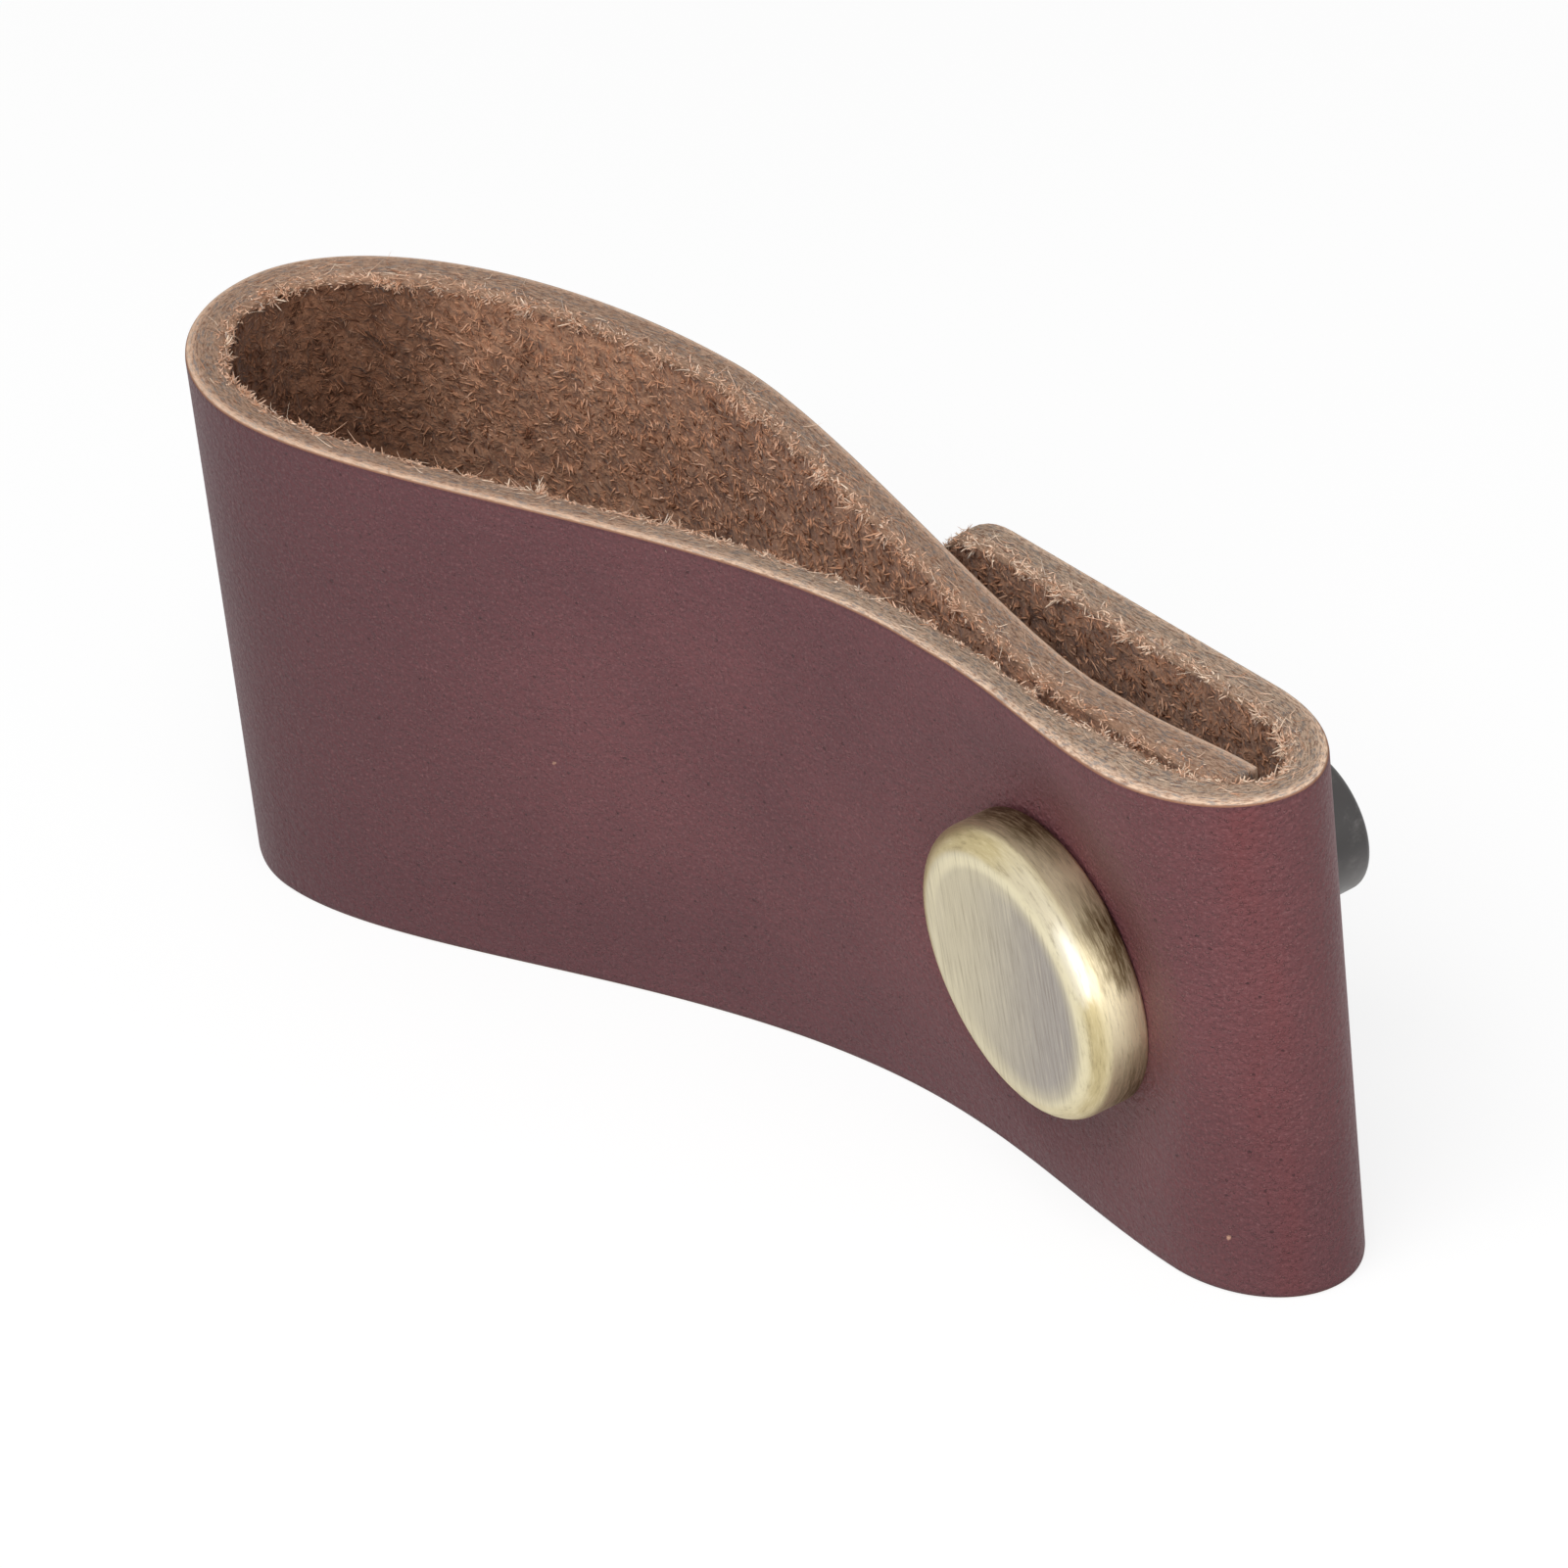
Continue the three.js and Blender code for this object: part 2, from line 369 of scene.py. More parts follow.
# The strap's section: up the grain face, over the upper cut edge, down the flesh face, under the lower edge.
half_width = strap_width / 2
grain_corner = 0.28
grain_line_end = half_width - 0.34
flesh_line_end = half_width - 0.75
face_stops = [stud_hole_radius, sleeve_hole_radius, sleeve_hole_reach]
upper_face_z = np.concatenate([lines_through(0, *face_stops, grain_line_end), [grain_line_end]])
grain_z = np.concatenate([-upper_face_z[:0:-1], upper_face_z])
flesh_z = np.interp(
    grain_z, [-grain_line_end, -face_stops[-1], face_stops[-1], grain_line_end],
    [-flesh_line_end, -face_stops[-1], face_stops[-1], flesh_line_end],
)
flesh_lumps = [(0.09, 0.9, 3), (0.06, 0.45, 4)]
torn_from, torn_fade, torn_depth, torn_lift = 0.9, 1.2, 0.16, 0.1
corner_turn = np.radians([25, 50, 90])
edge_z = np.concatenate(
    [half_width - grain_corner * (1 - np.sin(corner_turn)),
     half_width - np.array([0.0, 0.0, 0.02, 0.05, 0.1, 0.22, 0.42])]
)
edge_depth = np.concatenate(
    [grain_corner * (1 - np.cos(corner_turn)), np.array([0.55, 0.85, 1.15, 1.45, 1.72, 1.98, 2.2])]
)
ring_z = np.concatenate([grain_z, edge_z, flesh_z[::-1], -edge_z[::-1]])
ring_depth = np.concatenate(
    [np.zeros(len(grain_z)), edge_depth, np.full(len(flesh_z), strap_thickness), edge_depth[::-1]]
)
grain_lines, edge_lines = len(grain_z), len(edge_z)
ring_count = len(ring_z)
upper_edge_ring = np.arange(grain_lines, grain_lines + edge_lines)
flesh_ring = np.arange(grain_lines + edge_lines, 2 * grain_lines + edge_lines)
lower_edge_ring = np.arange(2 * grain_lines + edge_lines, ring_count)


def lumps(along, up, size, seed):
    """Random heights from -1 to 1 on a lattice of the given size, blended smoothly between its points."""
    lattice = np.random.default_rng(seed).uniform(-1, 1, (601, 601))
    u, v = np.asarray(along) / size % 600, np.asarray(up) / size % 600
    row, column = u.astype(int), v.astype(int)
    a, b = smooth(u - row), smooth(v - column)
    low = lattice[row, column] * (1 - a) + lattice[row + 1, column] * a
    high = lattice[row, column + 1] * (1 - a) + lattice[row + 1, column + 1] * a
    return low * (1 - b) + high * b


def strap_surface():
    """The strap as a grid of stations by ring points: the grain sheet, which runs straight from the lower
    edge line to the upper, plus depth times the direction to the flesh. The screw's seats are pressed flat,
    the flap's end is narrowed by its round corners, flesh and cut edges are roughened by lumps, and the foot
    is pressed flat on the table."""
    along = np.repeat(station_along[:, None], ring_count, axis=1)
    up = np.repeat(ring_z[None], station_count, axis=0)
    depth = ring_depth[None] * thickness[:, None] / strap_thickness
    share = (ring_z / strap_width + 0.5)[None, :, None]
    grain = lower_line[:, None] * (1 - share) + upper_line[:, None] * share
    flesh = lower_flesh_way[:, None] * (1 - share) + upper_flesh_way[:, None] * share
    flesh /= np.linalg.norm(flesh, axis=2, keepdims=True)

    seats = (
        ("fold_front", "loop_end", seat_y, seat_slope, front_seat_reach),
        ("rear_bend", "end", tuck_seat_y, 0.0, tuck_seat_reach),
    )
    for first, end, middle, slope, (clear, fade) in seats:
        span = slice(stretch_start[first], stretch_start[end])
        level = middle + slope * grain[span, :, 0]
        from_screw = np.hypot(grain[span, :, 0], up[span])
        loose = smooth((from_screw - clear) / (fade - clear))
        grain[span, :, 1] = level + (grain[span, :, 1] - level) * loose

    flesh_part = np.isin(np.arange(ring_count), flesh_ring)
    nap = sum(height * lumps(along, up, size, seed) for height, size, seed in flesh_lumps)
    depth = depth + nap * flesh_part
    for edge, sign, seed in ((upper_edge_ring, 1, 11), (lower_edge_ring[::-1], -1, 12)):
        inward = smooth((edge_depth - torn_from) / torn_fade)
        at = station_along[:, None] + 0 * edge_depth
        torn = lumps(at, edge_depth, 0.8, seed) + 0.7 * lumps(at, edge_depth, 0.35, seed + 20)
        depth[:, edge] += torn_depth * inward * torn
        up[:, edge] += sign * inward * torn_lift * lumps(at, edge_depth * 3, 0.5, seed + 40)

    from_end = np.clip(grain[:, :1, 0] + flap_reach, 0, end_corner_radius)
    on_flap = np.arange(station_count)[:, None] < stretch_start["fold_rear"]
    rounded = np.sqrt(end_corner_radius**2 - (end_corner_radius - from_end) ** 2)
    narrowing = (half_width - end_corner_radius + rounded) / half_width
    up = np.maximum(up * np.where(on_flap, narrowing, 1), -half_width)
    points = np.concatenate([grain + flesh * depth[:, :, None], up[:, :, None]], axis=2)
    return points, np.stack([along, up, depth * strap_thickness / thickness[:, None]], axis=2)


def round_a_hole(points, stations, radius, reach):
    """Turns the square of grid lines at the hole into a circle: each point is drawn in towards the axis by
    the ratio of its square distance to its round one, fully at the hole's edge and not at all at reach."""
    x, z = points[stations, :, 0], points[stations, :, 2]
    square = np.maximum(np.abs(x), np.abs(z))
    scale = square / np.maximum(np.hypot(x, z), 1e-9)
    pull = smooth((reach - square) / (reach - radius))
    pull = np.where(square <= reach, pull, 0)
    points[stations, :, 0] = x * (1 - pull + pull * scale)
    points[stations, :, 2] = z * (1 - pull + pull * scale)


strap_points, strap_unrolled = strap_surface()


def hole_through(first_stretch, next_stretch, radius, reach):
    """Makes one layer's hole round, and gives the grid lines at its edge, which are its first and last
    station and its lowest and highest face line, and its radius."""
    near = np.arange(stretch_start[first_stretch], stretch_start[next_stretch])
    inside = near[np.abs(middle_line[near, 0]) <= radius + 1e-6]
    lines = np.flatnonzero(np.abs(grain_z) <= radius + 1e-6)
    round_a_hole(strap_points, near, radius, reach)
    return inside[0], inside[-1], lines[0], lines[-1], radius


holes = [
    hole_through("flap", "fold_rear", sleeve_hole_radius, sleeve_hole_reach),
    hole_through("front", "front_bend", stud_hole_radius, stud_hole_reach),
    hole_through("rear_bend", "end", stud_hole_radius, stud_hole_reach),
]


def grid_quads(rows, columns):
    """The faces between neighbouring rows of a grid whose columns close on themselves, by row and column."""
    row, column = np.meshgrid(np.arange(rows - 1), np.arange(columns), indexing="ij")
    next_column = (column + 1) % columns
    return np.stack(
        [row * columns + column, row * columns + next_column,
         (row + 1) * columns + next_column, (row + 1) * columns + column], axis=2,
    )


def strap_faces():
    """Quads between neighbouring stations and ring points, without the cells inside the holes, with a wall
    round each hole and the two cut ends closed. Also which ring line each of the first starts from."""
    quads = grid_quads(station_count, ring_count)
    keep = np.ones(quads.shape[:2], bool)
    walls = []
    for first, last, low, high, _ in holes:
        across = slice(first, last)
        keep[across, low:high] = False
        keep[across, flesh_ring[-1] - high:flesh_ring[-1] - low] = False
        stations = np.concatenate(
            [np.full(high - low, first), np.arange(first, last), np.full(high - low, last),
             np.arange(last, first, -1)]
        )
        lines = np.concatenate(
            [np.arange(low, high), np.full(last - first, high), np.arange(high, low, -1),
             np.full(last - first, low)]
        )
        grain_side = stations * ring_count + lines
        flesh_side = stations * ring_count + flesh_ring[-1] - lines
        walls.append(
            np.stack([grain_side, flesh_side, np.roll(flesh_side, -1), np.roll(grain_side, -1)], axis=1)
        )
    body, body_line = quads[keep], np.nonzero(keep)[1]
    across = np.arange(grain_lines - 1)
    end_quads = np.stack(
        [across, across + 1, flesh_ring[-1] - across - 1, flesh_ring[-1] - across], axis=1
    )
    upper_fan = np.concatenate([[grain_lines - 1], upper_edge_ring, [flesh_ring[0]]])[None]
    lower_fan = np.concatenate([[flesh_ring[-1]], lower_edge_ring, [0]])[None]
    last = (station_count - 1) * ring_count
    ends = [end_quads, end_quads + last]
    fans = [upper_fan, lower_fan, upper_fan + last, lower_fan + last]
    return body, body_line, np.concatenate(walls), np.concatenate(ends), np.concatenate(fans)


def make_piece(name, points, faces, finishes, finish_of_face=None, outward=False):
    """A mesh object at the origin from points in millimetres and arrays of faces, one face a row. outward
    has Blender turn all its faces out, for a closed shape."""
    mesh = bpy.data.meshes.new(name)
    mesh.vertices.add(len(points))
    mesh.vertices.foreach_set("co", in_frame(points).ravel())
    corners = np.concatenate([rows.ravel() for rows in faces])
    sizes = np.concatenate([np.full(len(rows), rows.shape[1]) for rows in faces])
    mesh.loops.add(len(corners))
    mesh.loops.foreach_set("vertex_index", corners)
    mesh.polygons.add(len(sizes))
    mesh.polygons.foreach_set("loop_start", np.cumsum(sizes) - sizes)
    mesh.polygons.foreach_set("use_smooth", np.ones(len(sizes), bool))
    for finish in finishes:
        mesh.materials.append(finish)
    if finish_of_face is not None:
        mesh.polygons.foreach_set("material_index", finish_of_face)
    mesh.update(calc_edges=True)
    if outward:
        shell = bmesh.new()
        shell.from_mesh(mesh)
        bmesh.ops.recalc_face_normals(shell, faces=shell.faces)
        shell.to_mesh(mesh)
        shell.free()
    piece = bpy.data.objects.new(name, mesh)
    bpy.context.collection.objects.link(piece)
    return piece


def keep_vectors(piece, name, values):
    """Stores three numbers at each vertex for the materials to read."""
    piece.data.attributes.new(name, "FLOAT_VECTOR", "POINT").data.foreach_set("vector", values.ravel())


def screen_colour(red, green, blue):
    """A colour as a screen shows it, 0 to 255 each, in the shaders' linear values."""
    share = np.array([red, green, blue]) / 255
    linear = np.where(share <= 0.04045, share / 12.92, ((share + 0.055) / 1.055) ** 2.4)
    return (*linear, 1)


def noise_at(tree, vector, scale, detail=3.0, roughness=0.55):
    """Noise from 0 to 1 over a vector."""
    inputs = {"Vector": vector, "Scale": scale, "Detail": detail, "Roughness": roughness}
    return add_node(tree, "TexNoise", inputs).outputs[0]


def stretched(tree, vector, along, up, deep):
    """A vector with each of its three parts multiplied."""
    return add_node(tree, "VectorMath", {0: vector, 1: (along, up, deep)}, operation="MULTIPLY").outputs[0]


def parts_of(tree, place):
    """The three numbers of a place."""
    return add_node(tree, "SeparateXYZ", {0: place}).outputs


def ranged(tree, value, low, high, to_low=0.0, to_high=1.0, soft=True):
    """A value between low and high, as one between to_low and to_high."""
    inputs = {"Value": value, "From Min": low, "From Max": high, "To Min": to_low, "To Max": to_high}
    way = "SMOOTHSTEP" if soft else "LINEAR"
    return add_node(tree, "MapRange", inputs, interpolation_type=way).outputs[0]


def blended(tree, share, a, b, way="MIX"):
    """Colour a with b over it by a share."""
    settings = {"data_type": "RGBA", "blend_type": way, "clamp_factor": True}
    return add_node(tree, "Mix", {0: share, 6: a, 7: b}, **settings).outputs[2]


def coated(tree, colour, *coats):
    """A colour under coats of others, each laid over those before it by its share."""
    for share, coat in coats:
        colour = blended(tree, share, colour, coat)
    return colour


def raised(tree, height, strength, distance, normal=None):
    """A bump from a height; distance is the height's size in millimetres."""
    inputs = {"Height": height, "Strength": strength, "Distance": distance * mm}
    if normal is not None:
        inputs["Normal"] = normal
    return add_node(tree, "Bump", inputs).outputs[0]


def finish_surface(tree, colour, roughness, inputs):
    """The shader and the output; inputs are its other sockets by name."""
    shader = add_node(tree, "BsdfPrincipled", {"Base Color": colour, "Roughness": roughness, **inputs})
    add_node(tree, "OutputMaterial", {"Surface": shader.outputs[0]})


def unrolled_place(tree):
    """Where a point lies on the flat strap, in millimetres: along it, up it, and deep from the grain."""
    return add_node(tree, "Attribute", attribute_name="unrolled").outputs["Vector"]


def new_group(name, inputs, outputs):
    """An empty node group with number or vector inputs and number outputs, its input and its output node."""
    group = bpy.data.node_groups.new(name, "ShaderNodeTree")
    for socket, value in inputs.items():
        kind = "NodeSocketVector" if value is None else "NodeSocketFloat"
        made = group.interface.new_socket(name=socket, in_out="INPUT", socket_type=kind)
        if value is not None:
            made.default_value = value
    for socket in outputs:
        group.interface.new_socket(name=socket, in_out="OUTPUT", socket_type="NodeSocketFloat")
    return group, group.nodes.new("NodeGroupInput"), group.nodes.new("NodeGroupOutput")


def use_group(tree, group, inputs):
    """Places a group in a tree, and gives its outputs."""
    return add_node(tree, "Group", inputs, node_tree=group).outputs


def flecks_group():
    """Small scattered marks: the cells of a Voronoi pattern whose random number is under Amount, each a spot
    of Size round its middle, with the place bent by noise so that no spot is round."""
    group, given, result = new_group(
        "scattered flecks", {"Place": None, "Spacing": 1.0, "Size": 0.2, "Amount": 0.2}, ["Mask"]
    )
    place, spacing = given.outputs["Place"], given.outputs["Spacing"]
    bend = add_node(group, "TexNoise", {"Vector": place, "Scale": 3.0, "Detail": 2.0})
    shifted = add_node(
        group, "VectorMath", {0: bend.outputs["Color"], 1: (0.35, 0.35, 0.35), 2: place},
        operation="MULTIPLY_ADD",
    )
    per_spacing = maths(group, "DIVIDE", 1.0, spacing)
    cells = add_node(
        group, "TexVoronoi", {"Vector": shifted.outputs[0], "Scale": per_spacing}, feature="F1"
    )
    chosen = add_node(group, "SeparateColor", {0: cells.outputs["Color"]}).outputs[0]
    few = maths(group, "LESS_THAN", chosen, given.outputs["Amount"])
    edge = maths(group, "MULTIPLY", given.outputs["Size"], 0.6)
    spot = ranged(group, cells.outputs["Distance"], edge, given.outputs["Size"], 1.0, 0.0)
    group.links.new(maths(group, "MULTIPLY", few, spot), result.inputs["Mask"])
    return group


def matted_fibres_group():
    """Matted fibre: noise stretched along a way that itself wanders, in clumps and in single strands."""
    group, given, result = new_group(
        "matted fibres", {"Place": None, "Clump": 1.0, "Strand": 6.0}, ["Clumps", "Strands", "Height"]
    )
    place = given.outputs["Place"]
    wander = add_node(group, "TexNoise", {"Vector": place, "Scale": 0.7, "Detail": 2.0})
    bent = add_node(
        group, "VectorMath", {0: wander.outputs["Color"], 1: (1.6, 1.6, 1.6), 2: place},
        operation="MULTIPLY_ADD",
    ).outputs[0]
    clumps = noise_at(group, bent, given.outputs["Clump"], 4.0, 0.6)
    lying = stretched(group, bent, 0.35, 1.0, 1.0)
    leaning = stretched(group, bent, 1.0, 0.4, 1.0)
    strands_a = noise_at(group, lying, given.outputs["Strand"], 3.0, 0.65)
    strands_b = noise_at(group, leaning, given.outputs["Strand"], 3.0, 0.65)
    strands = maths(group, "MAXIMUM", strands_a, strands_b)
    height = maths(group, "ADD", maths(group, "MULTIPLY", strands, 0.5), clumps)
    group.links.new(ranged(group, clumps, 0.3, 0.7), result.inputs["Clumps"])
    group.links.new(ranged(group, strands, 0.4, 0.72), result.inputs["Strands"])
    group.links.new(height, result.inputs["Height"])
    return group


scattered_flecks = flecks_group()
matted_fibres = matted_fibres_group()


def flecks(tree, place, spacing, size, amount):
    """The mask of one scatter of flecks."""
    inputs = {"Place": place, "Spacing": spacing, "Size": size, "Amount": amount}
    return use_group(tree, scattered_flecks, inputs)[0]


# The grain: dyed oxblood, with fine pebbles and pores, a darker line at the cut edges and a redder, pulled
# stripe where the leather turns at the fold. Painted sheen lies on the pebbles, and painted shade darkens it
# towards the loop's end and towards the foot. Numbers along and up are the places between which a coat grows.
oxblood = screen_colour(110, 66, 69)
oxblood_deep = screen_colour(82, 48, 53)
oxblood_red = screen_colour(116, 56, 57)
oxblood_grey = screen_colour(104, 70, 74)
pore_dark = screen_colour(58, 32, 35)
pebble_sheen_colour = screen_colour(150, 108, 108)
painted_shade_along = (104.0, 136.0)
near_fold_along = (72.0, 50.0)
fleck_pale = screen_colour(205, 160, 135)
stripe_along = 48.6
foot_shade_up = (-4.0, -16.0)
stripe_width = 2.4


def grain_finish():
    """Satin leather: pebbles and pores as bumps; the dye's clouds, stripe, edge line and marks as colour,
    with painted sheen on the pebbles and painted shade towards the loop's end and the foot.
    """
    finish, tree = new_finish("oxblood_grain")
    place = unrolled_place(tree)
    along, up, _ = parts_of(tree, place)
    clouds = noise_at(tree, place, 0.06, 4.0, 0.6)
    mottle = noise_at(tree, place, 0.9, 4.0, 0.65)
    speckle = noise_at(tree, place, 4.6, 2.0, 0.5)
    glints = flecks(tree, place, spacing=0.34, size=0.32, amount=0.7)
    pores = flecks(tree, place, spacing=0.9, size=0.13, amount=0.3)
    pale = flecks(tree, place, spacing=6.5, size=0.035, amount=0.35)
    off_stripe = maths(tree, "ABSOLUTE", maths(tree, "SUBTRACT", along, stripe_along))
    wobble = noise_at(tree, stretched(tree, place, 0.4, 0.12, 0.0), 1.0, 3.0)
    stripe = maths(tree, "MULTIPLY", ranged(tree, off_stripe, stripe_width, 0.2),
                   ranged(tree, wobble, 0.35, 0.65, 0.12, 0.42))
    from_edge = maths(tree, "SUBTRACT", half_width, maths(tree, "ABSOLUTE", up))
    colour = coated(
        tree, oxblood,
        (ranged(tree, clouds, 0.35, 0.7, 0.0, 0.5), oxblood_deep),
        (ranged(tree, mottle, 0.35, 0.75, 0.0, 0.3), oxblood_grey),
        # painted shade: the grain darker towards the loop's end, away from the light
        (ranged(tree, along, *painted_shade_along, 0.0, 0.65), oxblood_deep),
        (ranged(tree, along, *near_fold_along, 0.0, 0.15), oxblood_red),
        (ranged(tree, speckle, 0.46, 0.28, 0.0, 0.5), oxblood_deep),
        # painted sheen: lighter speckle and glints on the pebble tops
        (ranged(tree, speckle, 0.54, 0.72, 0.0, 0.35), pebble_sheen_colour),
        (maths(tree, "MULTIPLY", glints, 0.24), pebble_sheen_colour),
        (stripe, oxblood_red),
        # painted shade: the grain darker towards the foot
        (ranged(tree, up, *foot_shade_up, 0.0, 0.35), oxblood_deep),
        (ranged(tree, from_edge, 0.55, 0.1, 0.0, 0.75), oxblood_deep),
        (maths(tree, "MULTIPLY", pores, 0.6), pore_dark),
        (maths(tree, "MULTIPLY", pale, 0.7), fleck_pale),
    )
    pebbles = add_node(tree, "TexVoronoi", {"Vector": place, "Scale": 2.2}, feature="SMOOTH_F1").outputs[0]
    fine = noise_at(tree, place, 4.2, 3.0, 0.6)
    wide = noise_at(tree, place, 0.35, 2.0)
    height = maths(tree, "ADD", maths(tree, "MULTIPLY", pebbles, 0.8), fine)
    height = maths(tree, "SUBTRACT", height, maths(tree, "MULTIPLY", pores, 0.6))
    height = maths(tree, "ADD", height, maths(tree, "MULTIPLY", glints, 0.6))
    normal = raised(tree, height, 0.9, 0.18, raised(tree, wide, 0.3, 0.4))
    roughness = ranged(tree, fine, 0.3, 0.7, 0.42, 0.56)
    finish_surface(tree, colour, roughness, {"Normal": normal, "Specular IOR Level": 0.28})
    return finish


# The cut edges: raw tan leather, smooth and pale just under the dyed grain, then layered fibre with grey and
# brown streaks, looser and more orange towards the flesh. Painted light makes them lighter from the front
# bend to the fold, the side the light falls from.
edge_tan = screen_colour(214, 177, 151)
edge_pale = screen_colour(232, 203, 177)
edge_grey = screen_colour(152, 142, 137)
edge_brown = screen_colour(144, 104, 83)
edge_orange = screen_colour(202, 155, 124)
painted_light_along = (112.0, 84.0)
painted_light_share = 0.85


def cut_edge_finish():
    """Raw edge: streaks run along the strap, their colour and loosening set by how deep they lie."""
    finish, tree = new_finish("raw_cut_edge")
    place = unrolled_place(tree)
    along, _, deep = parts_of(tree, place)
    streaks = noise_at(tree, stretched(tree, place, 0.9, 2.0, 5.0), 1.6, 5.0, 0.7)
    grey_streaks = noise_at(tree, stretched(tree, place, 0.7, 1.0, 3.4), 2.1, 4.0, 0.7)
    strands = noise_at(tree, stretched(tree, place, 2.2, 4.0, 8.0), 1.6, 4.0, 0.7)
    # painted light: the cut edges lighter from the front bend to the fold
    lit_paler = ranged(tree, along, *painted_light_along, 0.0, painted_light_share)
    smooth_band = maths(tree, "MULTIPLY", ranged(tree, deep, 0.45, 0.24, 0.0, 0.35),
                        maths(tree, "SUBTRACT", 1.0, lit_paler))
    colour = coated(
        tree, edge_tan,
        (lit_paler, edge_pale),
        (ranged(tree, streaks, 0.42, 0.66), edge_brown),
        (ranged(tree, grey_streaks, 0.5, 0.62, 0.0, 0.85), edge_grey),
        (ranged(tree, strands, 0.52, 0.7, 0.0, 0.7), edge_pale),
        (ranged(tree, deep, 1.4, 2.3, 0.0, 0.55), edge_orange),
        (smooth_band, edge_pale),
        (ranged(tree, deep, 0.14, 0.05), edge_brown),
    )
    height = maths(tree, "MULTIPLY", maths(tree, "ADD", streaks, strands),
                   ranged(tree, deep, 0.2, 0.9, 0.15, 1.0))
    normal = raised(tree, height, 1.0, 0.34)
    finish_surface(tree, colour, 0.85, {"Normal": normal, "Specular IOR Level": 0.2})
    return finish


# The flesh side: short matted brown fibre in clumps about a millimetre across. Painted shade darkens it in
# the loop's tight end, where little light reaches, and deep in the pocket behind the tucked layer.
flesh_brown = screen_colour(194, 142, 110)
flesh_light = screen_colour(222, 175, 142)
flesh_dark = screen_colour(114, 76, 58)
turn_entry = station_along[stretch_start["loop_end"]] + np.array([-13.0, 1.0])
turn_exit = station_along[stretch_start["loop_rear"]] + np.array([18.0, 8.0])
pocket_end = np.array([52.0, 40.0])
pocket_share = 0.35
painted_shade_tint = screen_colour(158, 147, 142)


def loop_painted_shade_group():
    """How much painted shade a place gets inside the loop's tight end: one ramp along the strap times another
    that falls. The pocket at the strap's start has a share of it. All times Most."""
    group, given, result = new_group("loop painted shade", {"Place": None, "Most": 0.8}, ["Mask"])
    along = parts_of(group, given.outputs["Place"])[0]
    inside = maths(group, "MULTIPLY", ranged(group, along, *turn_entry), ranged(group, along, *turn_exit))
    in_pocket = ranged(group, along, *pocket_end, 0.0, pocket_share)
    dark = maths(group, "MAXIMUM", inside, in_pocket)
    group.links.new(maths(group, "MULTIPLY", dark, given.outputs["Most"]), result.inputs["Mask"])
    return group


loop_painted_shade = loop_painted_shade_group()


def flesh_finish():
    """Suede: clumps and strands of matted fibre as colour and bumps, and painted shade in loop and pocket."""
    finish, tree = new_finish("suede_flesh")
    place = unrolled_place(tree)
    fibres = use_group(tree, matted_fibres, {"Place": place, "Clump": 0.9, "Strand": 3.2})
    wide = noise_at(tree, place, 0.12, 3.0)
    shade = use_group(tree, loop_painted_shade, {"Place": place, "Most": 0.85})[0]
    colour = coated(
        tree, flesh_dark,
        (fibres["Clumps"], flesh_brown),
        (maths(tree, "MULTIPLY", fibres["Strands"], 0.6), flesh_light),
        (ranged(tree, wide, 0.4, 0.65, 0.0, 0.3), flesh_dark),
    )
    # painted shade in the loop's tight end and in the pocket
    colour = blended(tree, shade, colour, painted_shade_tint, "MULTIPLY")
    normal = raised(tree, fibres["Height"], 1.0, 0.5)
    sheen = {"Sheen Weight": 0.15, "Sheen Roughness": 0.5}
    finish_surface(tree, colour, 0.95, {"Normal": normal, "Specular IOR Level": 0.1, **sheen})
    return finish


grain_leather, edge_leather, flesh_leather = grain_finish(), cut_edge_finish(), flesh_finish()
body, body_line, hole_walls, end_faces, end_fans = strap_faces()
line_finish = np.ones(ring_count, int)
line_finish[:grain_lines] = 0
line_finish[flesh_ring[:-1]] = 2
line_finish[-1] = 0
strap_finish = np.concatenate(
    [line_finish[body_line], np.ones(len(hole_walls) + len(end_faces) + len(end_fans), int)]
)
strap = make_piece(
    "folded_strap", strap_points.reshape(-1, 3), [body, hole_walls, end_faces, end_fans],
    [grain_leather, edge_leather, flesh_leather], strap_finish, outward=True,
)
keep_vectors(strap, "unrolled", strap_unrolled.reshape(-1, 3))
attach(strap, "root")
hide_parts("leather_strap")


# The fibres of the raw leather. The flesh side is a mat of fine curly hairs, and every cut edge has a fringe
# that the knife tore up: most of it lies along the edge, and tufts of it stand up at the flesh side. Fibres
# are thinned where two layers meet, and there are more towards the upper edge, which is the side seen.
nap_length = (0.28, 0.72)
nap_radius = (0.05, 0.1)
nap_dense_to = 11.0
nap_near_edge = 11.0
nap_elsewhere = 5.0
nap_end_margin = 0.7
nap_hole_margin = 0.15
lattice_lift = 40
fringe_per_mm = 16.0
strands_per_mm = 13.0
tuft_spacing = 2.4
tuft_fibres = 36
tuft_spread = 0.17
fibre_root_depth = 0.05
fibre_curl = 0.42
fibre_droop = 0.3
fibre_tip_lightening = 0.16
hair_stops = np.array([0.0, 0.65])
tuft_stops = np.array([0.0, 0.5, 0.88])
slit_stops = np.concatenate(
    [station_along[stretch_start["front"]] + np.array([-8, 0]),
     station_along[stretch_start["front_bend"]] + np.array([8, 18]),
     station_along[-1] + np.array([-30, -24])]
)
slit_lengths = [1.0, 0.75, 0.75, 1.0, 1.0, 0.75]

# How far across a cut edge a fibre is rooted, how steeply it stands in radians, and how long it is, each for
# the strands that lie along the edge, for the short fringe and for the tufts.
fringe_share = ((0, 0.9), (0.45, 1.05), (0.8, 1.1))
fringe_tilt = ((0.02, 0.14), (0.15, 0.8), (0.8, 1.4))
fringe_length = ((0.5, 1.3), (0.18, 0.45), (0.4, 1.05))

